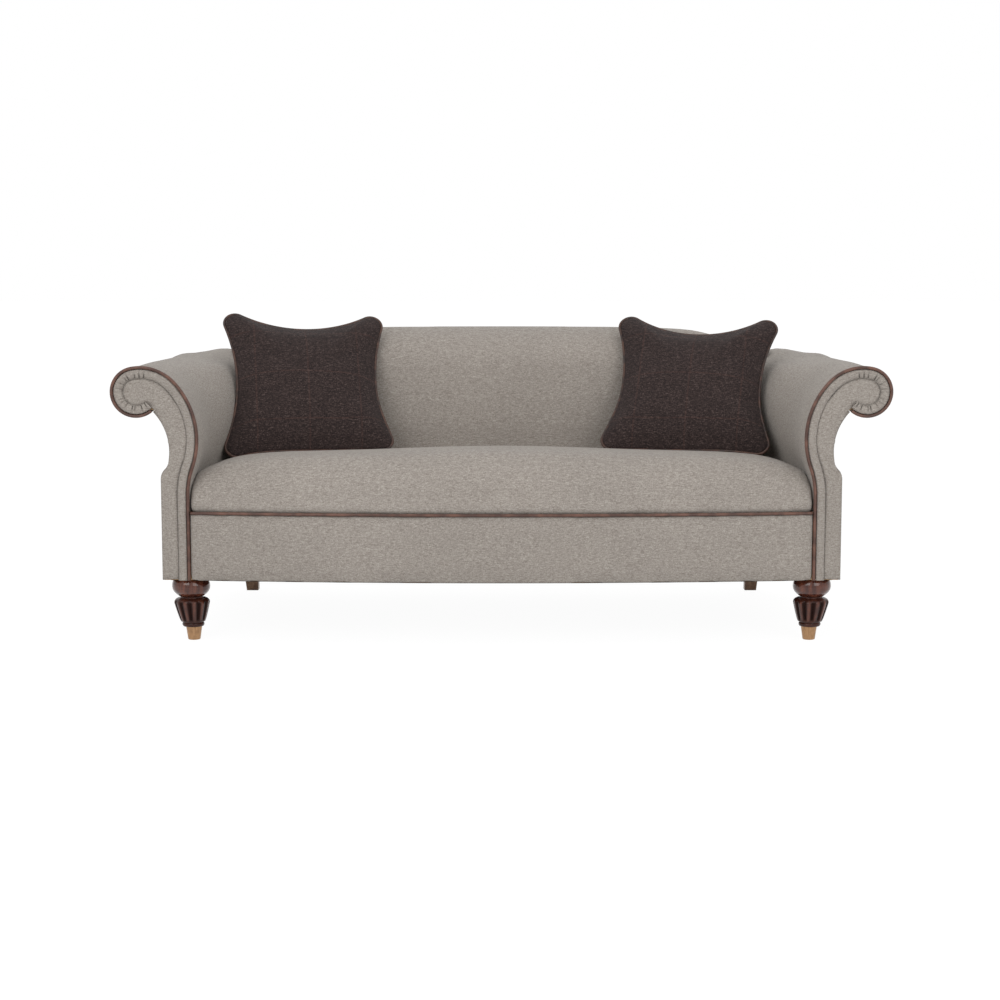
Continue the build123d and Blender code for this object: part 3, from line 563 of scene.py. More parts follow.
class Workshop:
    """Shared ways to shape a piece, dress it and hand it to the frame."""

    merge_distance = 1e-6
    pressure = 4.0
    last_step = 20
    slack = 0.6
    cord_sides = 14

    def __init__(self, finishes: Finishes) -> None:
        """Keep the finishes.

        Args:
            finishes: The sofa's materials.
        """
        self.finishes = finishes

    @staticmethod
    def start(name: str, shape: bmesh.types.BMesh) -> bpy.types.Object:
        """Turn a finished bmesh into an object with smooth faces.

        Args:
            name: The piece's name.
            shape: The bmesh, which is freed.

        Returns:
            The object.
        """
        for face in shape.faces:
            face.smooth = True
        mesh = bpy.data.meshes.new(name)
        shape.to_mesh(mesh)
        shape.free()
        piece = bpy.data.objects.new(name, mesh)
        bpy.context.scene.collection.objects.link(piece)
        return piece

    @classmethod
    def merged_copy(cls, node: str) -> bmesh.types.BMesh:
        """Copy a CAD node into a bmesh with its doubled points merged.

        Args:
            node: The node's name.

        Returns:
            The bmesh.
        """
        shape = bmesh.new()
        shape.from_mesh(frame["nodes"][node].data)
        bmesh.ops.remove_doubles(shape, verts=shape.verts, dist=cls.merge_distance)
        return shape

    @staticmethod
    def settle(piece: bpy.types.Object) -> None:
        """Apply every modifier of a piece."""
        view = bpy.context.evaluated_depsgraph_get()
        mesh = bpy.data.meshes.new_from_object(piece.evaluated_get(view))
        old = piece.data
        piece.modifiers.clear()
        piece.data = mesh
        bpy.data.meshes.remove(old)

    @staticmethod
    def points(piece: bpy.types.Object, what: str = "co") -> np.ndarray:
        """Read a piece's points, or their normals.

        Args:
            piece: The piece.
            what: "co" for places, "normal" for normals.

        Returns:
            An array of three columns.
        """
        found = np.zeros(len(piece.data.vertices) * 3)
        piece.data.vertices.foreach_get(what, found)
        return found.reshape(-1, 3)

    @staticmethod
    def move(piece: bpy.types.Object, places: np.ndarray) -> None:
        """Write a piece's points."""
        piece.data.vertices.foreach_set("co", places.ravel())
        piece.data.update()

    def remesh(self, piece: bpy.types.Object, voxel: float) -> None:
        """Remesh a piece in even quads.

        Args:
            piece: The piece.
            voxel: Their size.
        """
        grid = piece.modifiers.new("voxels", "REMESH")
        grid.mode = "VOXEL"
        grid.voxel_size = voxel
        grid.use_smooth_shade = True
        self.settle(piece)

    @staticmethod
    def relax(piece: bpy.types.Object, times: int) -> None:
        """Smooth a piece's points a number of times."""
        shape = bmesh.new()
        shape.from_mesh(piece.data)
        for _ in range(times):
            bmesh.ops.smooth_vert(
                shape, verts=shape.verts, factor=0.5, use_axis_x=True, use_axis_y=True, use_axis_z=True
            )
        shape.to_mesh(piece.data)
        shape.free()

    def swell(self, piece: bpy.types.Object, cap: float, reach: Reach) -> None:
        """Blow a pad up as cloth, from a slightly smaller shape, within a cap.

        Args:
            piece: The pad.
            cap: The furthest that a point may move.
            reach: Share of the cap at each point, from its place and its normal.
        """
        places = self.points(piece)
        normals = self.points(piece, "normal")
        share = reach(places, normals)[:, None]
        places = places - normals * share * cap * self.slack
        self.move(piece, places)
        cloth = piece.modifiers.new("cloth", "CLOTH")
        cloth.settings.quality = 3
        cloth.settings.mass = 0.3
        cloth.settings.use_pressure = True
        cloth.settings.uniform_pressure_force = self.pressure
        cloth.settings.effector_weights.gravity = 0
        cloth.collision_settings.use_collision = False
        cloth.point_cache.frame_start = 1
        cloth.point_cache.frame_end = 25
        for step in range(1, self.last_step + 1):
            bpy.context.scene.frame_set(step)
        self.settle(piece)
        bpy.context.scene.frame_set(1)
        moved = self.points(piece) - places
        far = np.linalg.norm(moved, axis=1, keepdims=True)
        self.move(piece, places + moved * np.minimum(1.0, cap / np.maximum(far, 1e-9)) * share)

    def soften(self, piece: bpy.types.Object, width: float) -> None:
        """Round a piece's edges.

        Args:
            piece: The piece.
            width: How far the rounding reaches.
        """
        rounding = piece.modifiers.new("edges", "BEVEL")
        rounding.width = width
        rounding.segments = 3
        rounding.limit_method = "ANGLE"
        rounding.angle_limit = math.radians(30)
        self.settle(piece)

    def hand_over(
        self,
        piece: bpy.types.Object,
        slot: str,
        replaces: Sequence[str],
        body: str = "sofa",
        fill: Fill | None = None,
    ) -> bpy.types.Object:
        """Dress a piece and tie it to the frame.

        Args:
            piece: The piece.
            slot: The record's slot for its finish.
            replaces: The CAD nodes that it stands for.
            body: The body that it rides on.
            fill: How it is stuffed, if it is padded; not used.

        Returns:
            The piece.
        """
        piece.data.materials.clear()
        piece.data.materials.append(self.finishes.by_slot[slot])
        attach(piece, body)
        if replaces:
            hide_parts(*replaces)
        log.info("%s: %d faces, rides on %s", piece.name, len(piece.data.polygons), body)
        return piece

    @staticmethod
    def sweep(
        shape: bmesh.types.BMesh,
        ring: Sequence[bmesh.types.BMVert],
        stations: Sequence[Matrix],
        closed: bool = False,
        each: Callable[[int, Sequence[bmesh.types.BMVert]], None] | None = None,
    ) -> None:
        """Draw a ring of points along a line of stations, by extruding it from one to the next.

        Args:
            shape: The bmesh that holds the ring.
            ring: The ring's points in order, at the first station.
            stations: A frame for each place along the line.
            closed: Whether the last station joins the first.
            each: What to do to the ring at each station.
        """
        edges = list({edge for vert in ring for edge in vert.link_edges})
        first = edges
        if each:
            each(0, ring)
        start = stations[0].inverted()
        local = [start @ vert.co for vert in ring]
        for count, station in enumerate(stations[1:], 1):
            made = bmesh.ops.extrude_edge_only(shape, edges=edges)["geom"]
            edges = [part for part in made if isinstance(part, bmesh.types.BMEdge)]
            new = [part for part in made if isinstance(part, bmesh.types.BMVert)]
            by_place = {vert.co.to_tuple(7): vert for vert in new}
            ring = [by_place[old.co.to_tuple(7)] for old in ring]
            for vert, place in zip(ring, local):
                vert.co = station @ place
            keep = set(ring)
            edges = [edge for edge in edges if edge.verts[0] in keep and edge.verts[1] in keep]
            if each:
                each(count, ring)
        if closed:
            bmesh.ops.bridge_loops(shape, edges=first + edges)
            return
        bmesh.ops.contextual_create(shape, geom=first)
        bmesh.ops.contextual_create(shape, geom=edges)

    def tube(
        self, name: str, stations: Sequence[Matrix], radius: float, closed: bool = False
    ) -> bpy.types.Object:
        """Make a round cord along a line of stations.

        Args:
            name: The piece's name.
            stations: Frames whose Z follows the line.
            radius: The cord's radius.
            closed: Whether it is a loop.

        Returns:
            The object.
        """
        shape = bmesh.new()
        made = bmesh.ops.create_circle(shape, segments=self.cord_sides, radius=radius, matrix=stations[0])
        self.sweep(shape, made["verts"], stations, closed)
        bmesh.ops.recalc_face_normals(shape, faces=shape.faces)
        return self.start(name, shape)


def plane_station(x: float, y: float, z: float, heading: float) -> Matrix:
    """Give a frame in the front view whose Z follows a heading and whose Y points forwards.

    Args:
        x: Place along the sofa.
        y: Depth.
        z: Height.
        heading: Direction in the front view, in radians from +X.

    Returns:
        The frame.
    """
    ahead = Vector((math.cos(heading), 0.0, math.sin(heading)))
    forward = Vector((0.0, -1.0, 0.0))
    inward = forward.cross(ahead)
    turn = Matrix((inward, forward, ahead)).transposed().to_4x4()
    return Matrix.Translation((x, y, z)) @ turn


@dataclass
class ScrollLine:
    """The arm's inner edge in the front view: a riser, an ogee and three arcs round the scroll."""

    inner_x: float = 0.784
    foot: float = 0.160
    riser: float = 0.213
    arcs: tuple[tuple[float, float], ...] = (
        (0.216, 19.6),
        (0.216, -19.6),
        (0.215, -42.0),
        (0.120, -59.0),
        (0.0645, -208.0),
    )

    def stations(self, side: Side, inset: float, y: float, step: float, beyond: float = 0.0) -> list[Matrix]:
        """Walk along the edge, from its foot over the scroll.

        Args:
            side: The arm's side.
            inset: How far the line is set in from the outline.
            y: Its depth.
            step: The longest step.
            beyond: How many degrees further the line turns into the crease.

        Returns:
            A frame for each place.
        """
        x, z, heading = self.inner_x + inset, self.foot, math.pi / 2
        walk = [(x, z, heading)]
        count = math.ceil(self.riser / step)
        for _ in range(count):
            z += self.riser / count
            walk.append((x, z, heading))
        last_radius, last_turn = self.arcs[-1]
        for radius, turn in (*self.arcs[:-1], (last_radius, last_turn - beyond)):
            bend = radius + math.copysign(inset, turn)
            swing = math.radians(turn)
            count = math.ceil(abs(swing) * bend / step)
            chord = 2 * bend * math.sin(abs(swing) / count / 2)
            for _ in range(count):
                middle = heading + swing / count / 2
                x += chord * math.cos(middle)
                z += chord * math.sin(middle)
                heading += swing / count
                walk.append((x, z, heading))
        if side is Side.LEFT:
            walk = [(-x, z, math.pi - heading) for x, z, heading in walk]
        return [plane_station(x, y, z, heading) for x, z, heading in walk]


@dataclass(frozen=True)
class StuffedCorner:
    """The extra stuffing where an inside arm turns into the back, as one smooth push inwards.

    Each span is where a change starts and where it is whole.
    """

    depth: float = 0.095
    low_share: float = 0.8
    push_run: Span = (-0.26, 0.28)
    push_inner: Span = (0.44, 0.805)
    push_outer: Span = (0.835, 0.914)
    push_height: Span = (0.40, 0.60)
    neck_across: Span = (0.80, 0.84)
    neck_height: Span = (0.60, 0.655)
    scroll_x: float = 0.914
    scroll_z: float = 0.636
    core: float = 0.0365
    padding: float = 0.028
    droop: float = 0.013
    droop_across: Span = (0.80, 0.85)
    droop_run: Span = (-0.2, 0.42)
    droop_height: Span = (0.636, 0.686)
    rise: float = 0.020
    rise_inner: Span = (0.68, 0.77)
    rise_outer: Span = (0.79, 0.90)
    rise_run: Span = (0.1, 0.40)
    rise_height: Span = (0.60, 0.68)

    @staticmethod
    def ease(value: np.ndarray, low: float, high: float) -> np.ndarray:
        """Rise smoothly from 0 to 1 between two places."""
        share = np.clip((value - low) / (high - low), 0, 1)
        return share * share * (3 - 2 * share)

    def fill(self, shop: Workshop, piece: bpy.types.Object) -> None:
        """Push a piece inwards in its rear corners, let the arm's crest droop and lift the back's shoulder.

        Args:
            shop: The workshop that moves the points.
            piece: An arm, back or seat piece.
        """
        ease = self.ease
        places = shop.points(piece)
        away = np.abs(places[:, 0])
        push = self.depth * ease(away, *self.push_inner) * (1 - ease(away, *self.push_outer))
        push *= ease(places[:, 1], *self.push_run)
        push *= self.low_share + (1 - self.low_share) * ease(places[:, 2], *self.push_height)
        push *= 1 - ease(away, *self.neck_across) * (1 - ease(places[:, 2], *self.neck_height))
        round_scroll = np.hypot(away - self.scroll_x, places[:, 2] - self.scroll_z)
        loose = np.clip((round_scroll - self.core) / self.padding, 0, 1)
        loose *= ease(away, *self.droop_across) * ease(places[:, 2], *self.droop_height)
        places[:, 2] -= self.droop * loose * ease(places[:, 1], *self.droop_run)
        places[:, 0] -= np.sign(places[:, 0]) * push
        away = np.abs(places[:, 0])
        lift = ease(away, *self.rise_inner) * (1 - ease(away, *self.rise_outer))
        lift *= ease(places[:, 1], *self.rise_run) * ease(places[:, 2], *self.rise_height)
        places[:, 2] += self.rise * lift
        shop.move(piece, places)


@dataclass
class ArmAssembly:
    """One scroll arm: its rolled pad, outside panel, facing, gathered border, seam and piping."""

    shop: Workshop
    side: Side
    line: ScrollLine
    corner: StuffedCorner
    post_front: float = -0.3985
    pad_voxel: float = 0.0076
    pad_cap: float = 0.006
    panel_edge: float = 0.0018
    panel_gap: float = 0.0004
    facing_voxel: float = 0.0048
    facing_cap: float = 0.004
    facing_seam: float = 0.022
    gather_reach: float = 0.008
    gather_sink: float = 0.004
    edge_lap: float = 0.0055
    border_inset: float = 0.0093
    border_depth: float = 0.013
    piping_radius: float = 0.0040
    piping_proud: float = 0.0015
    tuck: float = 0.0065
    seam_radius: float = 0.0012
    gathered_length: float = 0.225
    gather_beyond: float = 6.0
    gather_step: float = 0.0011
    pleats: int = 15
    pleat_depth: float = 0.0034
    pleat_width: float = 0.0017
    cord_step: float = 0.003
    neck_height: float = 0.585

    def named(self, piece: str) -> str:
        """Name one of this arm's pieces."""
        return f"{self.side.word}_{piece}"

    def build(self) -> None:
        """Make every piece of the arm."""
        self.roll_pad()
        self.outside_panel()
        self.facing()
        self.gathered_border()
        self.seam()
        self.piping()

    def roll_pad(self) -> None:
        """Pad the inside arm and its roll, up to the back of the piping."""
        node = self.named("arm_pad")
        shape = self.shop.merged_copy(node)
        edge = [vert for vert in shape.verts if vert.co.y < self.post_front + 0.002]
        bmesh.ops.translate(shape, verts=edge, vec=(0.0, -self.tuck, 0.0))
        pad = self.shop.start(self.named("inside_arm"), shape)
        self.shop.remesh(pad, self.pad_voxel)
        self.shop.relax(pad, 3)
        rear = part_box(node)[1].y

        def reach(places: np.ndarray, normals: np.ndarray) -> np.ndarray:
            """Let the pad swell between the piping and the back."""
            near = np.clip((places[:, 1] - self.post_front) / 0.05, 0, 1)
            far = np.clip((rear - 0.05 - places[:, 1]) / 0.1, 0, 1)
            return near * far

        self.shop.swell(pad, self.pad_cap, reach)
        self.corner.fill(self.shop, pad)
        self.shop.hand_over(pad, "tweed", [node], fill=Fill.TIGHT)

    def outside_panel(self) -> None:
        """Cover the outside of the arm, with soft edges, as far as the back of the facing."""
        node = self.named("outside_arm")
        panel = self.shop.start(self.named("outside_cover"), self.shop.merged_copy(node))
        self.shop.soften(panel, self.panel_edge)
        places = self.shop.points(panel)
        places[:, 1] = np.maximum(places[:, 1], self.post_front + self.panel_gap)
        self.shop.move(panel, places)
        self.shop.hand_over(panel, "tweed", [node], fill=Fill.TIGHT)

    def facing(self) -> None:
        """Pad the smooth middle of the facing."""
        node = self.named("facing_panel")
        panel = self.shop.start(self.named("facing"), self.shop.merged_copy(node))
        self.shop.remesh(panel, self.facing_voxel)
        self.shop.relax(panel, 2)

        def reach(places: np.ndarray, normals: np.ndarray) -> np.ndarray:
            """Let only the front swell."""
            return np.clip(-normals[:, 1], 0, 1)

        self.shop.swell(panel, self.facing_cap, reach)
        self.lap(panel)
        self.shop.hand_over(panel, "tweed", [node], fill=Fill.TIGHT)

    @staticmethod
    def nearest(stations: Sequence[Matrix], places: np.ndarray) -> tuple[np.ndarray, np.ndarray]:
        """Find the nearest station to each point in the front view.

        Args:
            stations: A line of stations.
            places: The points.

        Returns:
            How far each point is from its station, and the station's number.
        """
        line = np.array([(station.translation.x, station.translation.z) for station in stations])
        apart = np.linalg.norm(places[:, None, ::2] - line[None], axis=2)
        return apart.min(axis=1), apart.argmin(axis=1)

    def lap(self, panel: bpy.types.Object) -> None:
        """Lap the facing over the outside cover's edge, and sink it under the gathered border.

        Args:
            panel: The facing.
        """
        ease = self.corner.ease
        places = self.shop.points(panel)
        away, height = np.abs(places[:, 0]), places[:, 2]
        slice_height = 0.006
        levels = np.arange(self.line.foot, self.neck_height, slice_height)
        edges = [away[np.abs(height - level) < slice_height].max() for level in levels]
        edge = np.interp(height, levels, edges)
        below_neck = 1 - ease(height, self.neck_height - 0.02, self.neck_height + 0.005)
        lap = self.edge_lap * ease(away, edge - 0.018, edge) * below_neck
        seam = self.line.stations(self.side, self.facing_seam, self.post_front, self.cord_step)
        far = self.nearest(seam, places)[0]
        front = ease(self.post_front - places[:, 1], 0.003, 0.008)
        under = 1 - ease(far, self.gather_reach, self.gather_reach + 0.006)
        places[:, 1] += self.gather_sink * front * under
        places[:, 0] += np.sign(places[:, 0]) * lap
        self.shop.move(panel, places)

    def folds(self, stations: Sequence[Matrix], step: float) -> list[float]:
        """Work out how deep the gathers are at each station of the border, for their push and their painted
        shade.

        Args:
            stations: The border's stations.
            step: The spacing of the stations.

        Returns:
            A depth from 0 to 1 for each.
        """
        last = len(stations) - 1
        first = last - int(self.gathered_length / step)
        depths = [0.0] * len(stations)
        for fold in range(self.pleats):
            uneven = 0.5 + 0.5 * math.sin(fold * 2.4 + 0.7)
            along = (fold + 0.25 + 0.5 * uneven) / self.pleats
            middle = first + (last - first) * along
            strong = 0.3 + 0.7 * abs(math.cos(math.pi * (along - 0.14) / 0.76)) ** 1.5
            for place in range(len(stations)):
                off = (place - middle) * step / self.pleat_width
                depths[place] = max(depths[place], strong * (0.6 + 0.4 * uneven) * math.exp(-off * off))
        return depths

    def gathered_border(self) -> None:
        """Make the band between facing and piping, gathered into small pleats round the scroll."""
        node = self.named("facing_border")
        half = (self.facing_seam - self.border_inset) / 2
        middle = self.border_inset + half
        step = self.gather_step
        stations = self.line.stations(self.side, middle, self.post_front, step, self.gather_beyond)
        depths = self.folds(stations, step)
        depth = self.border_depth
        lip = half + self.gather_reach
        outline = [(-half, 0.0), (-half, depth * 0.8), (-half * 0.6, depth), (half * 0.2, depth * 1.05)]
        outline += [(half * 0.9, depth), (lip * 0.85, depth * 0.9), (lip, depth * 0.66), (lip, depth * 0.56)]
        outline += [(half, depth * 0.5), (half, 0.0)]
        if self.side is Side.RIGHT:
            outline = [(-across, rise) for across, rise in outline]
        # Share of each outline point in a pleat's push and in its painted shade.
        weight = [0.0, 0.0, 0.1, 0.4, 0.85, 1.0, 1.0, 0.6, 0.0, 0.0]
        shape = bmesh.new()
        # Painted shade in the pleats, as strong as each is pushed in.
        fold = shape.verts.layers.float.new("fold")
        ring = [shape.verts.new(stations[0] @ Vector((across, rise, 0.0))) for across, rise in outline]
        for one, other in zip(ring, ring[1:] + ring[:1]):
            shape.edges.new((one, other))

        def gather(count: int, verts: Sequence[bmesh.types.BMVert]) -> None:
            """Push the band in at a pleat and paint shade into it by the pleat's depth."""
            for vert, share in zip(verts, weight):
                vert.co.y += depths[count] * share * self.pleat_depth
                vert[fold] = depths[count] * share

        self.shop.sweep(shape, ring, stations, each=gather)
        bmesh.ops.recalc_face_normals(shape, faces=shape.faces)
        band = self.shop.start(self.named("gathered_border"), shape)
        self.shop.hand_over(band, "tweed", [node], fill=Fill.FIRM)

    def seam(self) -> None:
        """Lay the seam between the facing and its border, with painted shade that is dark along the arm and
        faint round the scroll.
        """
        depth = self.post_front - self.border_depth * 0.62
        inset = self.facing_seam + self.gather_reach + self.panel_gap
        stations = self.line.stations(self.side, inset, depth, self.cord_step)
        cord = self.shop.tube(self.named("facing_seam"), stations, self.seam_radius)
        plain = len(stations) - int(self.gathered_length * 0.85 / self.cord_step)
        # Painted shade on the seam cord, stronger along the arm than round the scroll.
        shade = np.interp(np.arange(len(stations)), (plain - 18, plain + 6), (0.5, 0.25))
        marks = cord.data.attributes.new("fold", "FLOAT", "POINT")
        marks.data.foreach_set("value", shade[self.nearest(stations, self.shop.points(cord))[1]])
        self.shop.hand_over(cord, "tweed", [])

    def piping(self) -> None:
        """Run the leather piping round the edge of the facing."""
        node = self.named("arm_piping")
        depth = self.post_front - self.border_depth + self.piping_radius - self.piping_proud
        stations = self.line.stations(self.side, self.piping_radius, depth, self.cord_step)
        cord = self.shop.tube(self.named("arm_leather"), stations, self.piping_radius)
        self.shop.hand_over(cord, "leather_trim", [node])


@dataclass
class SeatAssembly:
    """The sprung seat: its pad, the border under it and the piping between them."""

    shop: Workshop
    corner: StuffedCorner
    half_width: float = 0.78175
    bow: float = 0.046
    bow_half: float = 0.7933
    front: float = -0.4585
    piping_height: float = 0.3316
    piping_radius: float = 0.0037
    piping_proud: float = 0.0015
    piping_steps: int = 240
    pad_voxel: float = 0.011
    pad_cap: float = 0.009
    foot_drop: float = 0.003
    border_voxel: float = 0.008
    border_cap: float = 0.004
    border_tuck: float = 0.005
    rear_hold: float = 0.06
    foot_hold: Span = (0.018, 0.03)
    end_hold: float = 0.04
    edge_rise: float = 0.03
    edge_run: Span = (0.08, 0.14)

    def build(self) -> bpy.types.Object:
        """Make the pad, the border and the piping, and give the pad."""
        self.border()
        self.piping()
        return self.pad()

    def pad(self) -> bpy.types.Object:
        """Pad the seat over its springs, draw its front edge down to the piping, and give the pad."""
        pad = self.shop.start("seat", self.shop.merged_copy("seat_pad"))
        self.shop.remesh(pad, self.pad_voxel)
        self.shop.relax(pad, 4)
        low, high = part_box("seat_pad")

        def reach(places: np.ndarray, normals: np.ndarray) -> np.ndarray:
            """Let the top and the front swell, and hold the sides, the rear and the foot."""
            open_face = np.clip(np.maximum(normals[:, 2], -normals[:, 1]), 0, 1)
            rear = np.clip((high.y - places[:, 1]) / self.rear_hold, 0, 1)
            foot = np.clip((places[:, 2] - low.z - self.foot_hold[0]) / self.foot_hold[1], 0, 1)
            ends = np.clip((high.x - np.abs(places[:, 0])) / self.end_hold, 0, 1)
            return open_face * rear * foot * ends

        self.shop.swell(pad, self.pad_cap, reach)
        places = self.shop.points(pad)
        edge = 1 - self.corner.ease(places[:, 2], low.z, low.z + self.edge_rise)
        edge *= 1 - self.corner.ease(places[:, 1], low.y + self.edge_run[0], low.y + self.edge_run[1])
        places[:, 2] -= self.foot_drop * edge
        self.shop.move(pad, places)
        self.corner.fill(self.shop, pad)
        return self.shop.hand_over(pad, "tweed", ["seat_pad"], fill=Fill.TIGHT)

    def border(self) -> None:
        """Pad the deep band under the seat, down to the rail's foot and up behind the piping."""
        band = self.shop.start("seat_border", self.shop.merged_copy("front_border"))
        self.shop.remesh(band, self.border_voxel)
        self.shop.relax(band, 4)

        def reach(places: np.ndarray, normals: np.ndarray) -> np.ndarray:
            """Let only the front swell."""
            return np.clip(-normals[:, 1], 0, 1)

        self.shop.swell(band, self.border_cap, reach)
        low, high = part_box("front_border")
        places = self.shop.points(band)
        places[:, 0] *= high.x / np.abs(places[:, 0]).max()
        share = (places[:, 2] - places[:, 2].min()) / np.ptp(places[:, 2])
        places[:, 2] = low.z + share * (high.z + self.border_tuck - low.z)
        self.shop.move(band, places)
        self.shop.hand_over(band, "tweed", ["front_border"], fill=Fill.TIGHT)

    def piping(self) -> None:
        """Run the leather piping along the bowed seam."""
        radius = (self.bow_half**2 + self.bow**2) / (2 * self.bow)
        bend = radius - self.piping_radius + self.piping_proud
        centre = self.front + radius
        swing = math.asin(self.half_width / bend)
        stations = []
        for place in range(self.piping_steps + 1):
            turn = swing * (2 * place / self.piping_steps - 1)
            spot = Vector((bend * math.sin(turn), centre - bend * math.cos(turn), self.piping_height))
            ahead = Vector((math.cos(turn), math.sin(turn), 0.0))
            up = Vector((0.0, 0.0, 1.0))
            stations.append(
                Matrix.Translation(spot) @ Matrix((up, ahead.cross(up), ahead)).transposed().to_4x4()
            )
        cord = self.shop.tube("seat_leather", stations, self.piping_radius)
        self.shop.hand_over(cord, "leather_trim", ["seat_piping"])


@dataclass
class BackAssembly:
    """The back: its raked pad and the outside panel behind it."""

    shop: Workshop
    corner: StuffedCorner
    lip: float = 0.686
    lip_blend: float = 0.04
    pad_voxel: float = 0.011
    pad_cap: float = 0.009
    panel_edge: float = 0.0022
    left_cuts: tuple[float, float, float] = (-0.90, -0.69, 0.015)
    right_cuts: tuple[float, float, float] = (0.70, 0.91, 0.015)
    end_hold: Span = (0.03, 0.08)
    foot_hold: Span = (0.45, 0.05)
    rear_hold: Span = (0.01, 0.03)
    roll_depth: float = 0.035
    roll_height: float = 0.02

    def build(self) -> None:
        """Make the pad and the panel."""
        self.pad()
        self.panel()

    def pad(self) -> None:
        """Pad the inside back and roll it over the top rail, down to the outside panel."""
        pad = self.shop.start("inside_back", self.shop.merged_copy("back_pad"))
        self.shop.remesh(pad, self.pad_voxel)
        self.shop.relax(pad, 4)
        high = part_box("back_pad")[1]

        def reach(places: np.ndarray, normals: np.ndarray) -> np.ndarray:
            """Let the face swell, and hold the ends, the rear and the foot."""
            open_face = np.clip(-normals[:, 1], 0, 1)
            ends = np.clip((high.x - self.end_hold[0] - np.abs(places[:, 0])) / self.end_hold[1], 0, 1)
            foot = np.clip((places[:, 2] - self.foot_hold[0]) / self.foot_hold[1], 0, 1)
            rear = np.clip((high.y - self.rear_hold[0] - places[:, 1]) / self.rear_hold[1], 0, 1)
            return open_face * ends * foot * rear

        self.shop.swell(pad, self.pad_cap, reach)
        places = self.shop.points(pad)
        rolled = (places[:, 1] > high.y - self.roll_depth) & (places[:, 2] > self.lip - self.roll_height)
        lowest = places[rolled, 2].min()
        fall = 1 - self.corner.ease(places[:, 2], lowest, lowest + self.lip_blend)
        places[:, 2] -= np.where(rolled, (lowest - self.lip) * fall, 0.0)
        self.shop.move(pad, places)
        self.corner.fill(self.shop, pad)
        self.shop.hand_over(pad, "tweed", ["back_pad"], fill=Fill.TIGHT)

    def panel(self) -> None:
        """Cover the outside back, with soft edges, cut finely where the corners are stuffed."""
        shape = self.shop.merged_copy("outside_back")
        for cut in (*np.arange(*self.left_cuts), *np.arange(*self.right_cuts)):
            parts = shape.verts[:] + shape.edges[:] + shape.faces[:]
            bmesh.ops.bisect_plane(shape, geom=parts, plane_co=(cut, 0.0, 0.0), plane_no=(1.0, 0.0, 0.0))
        panel = self.shop.start("outside_back_cover", shape)
        self.shop.soften(panel, self.panel_edge)
        self.corner.fill(self.shop, panel)
        self.shop.hand_over(panel, "tweed", ["outside_back"], fill=Fill.TIGHT)


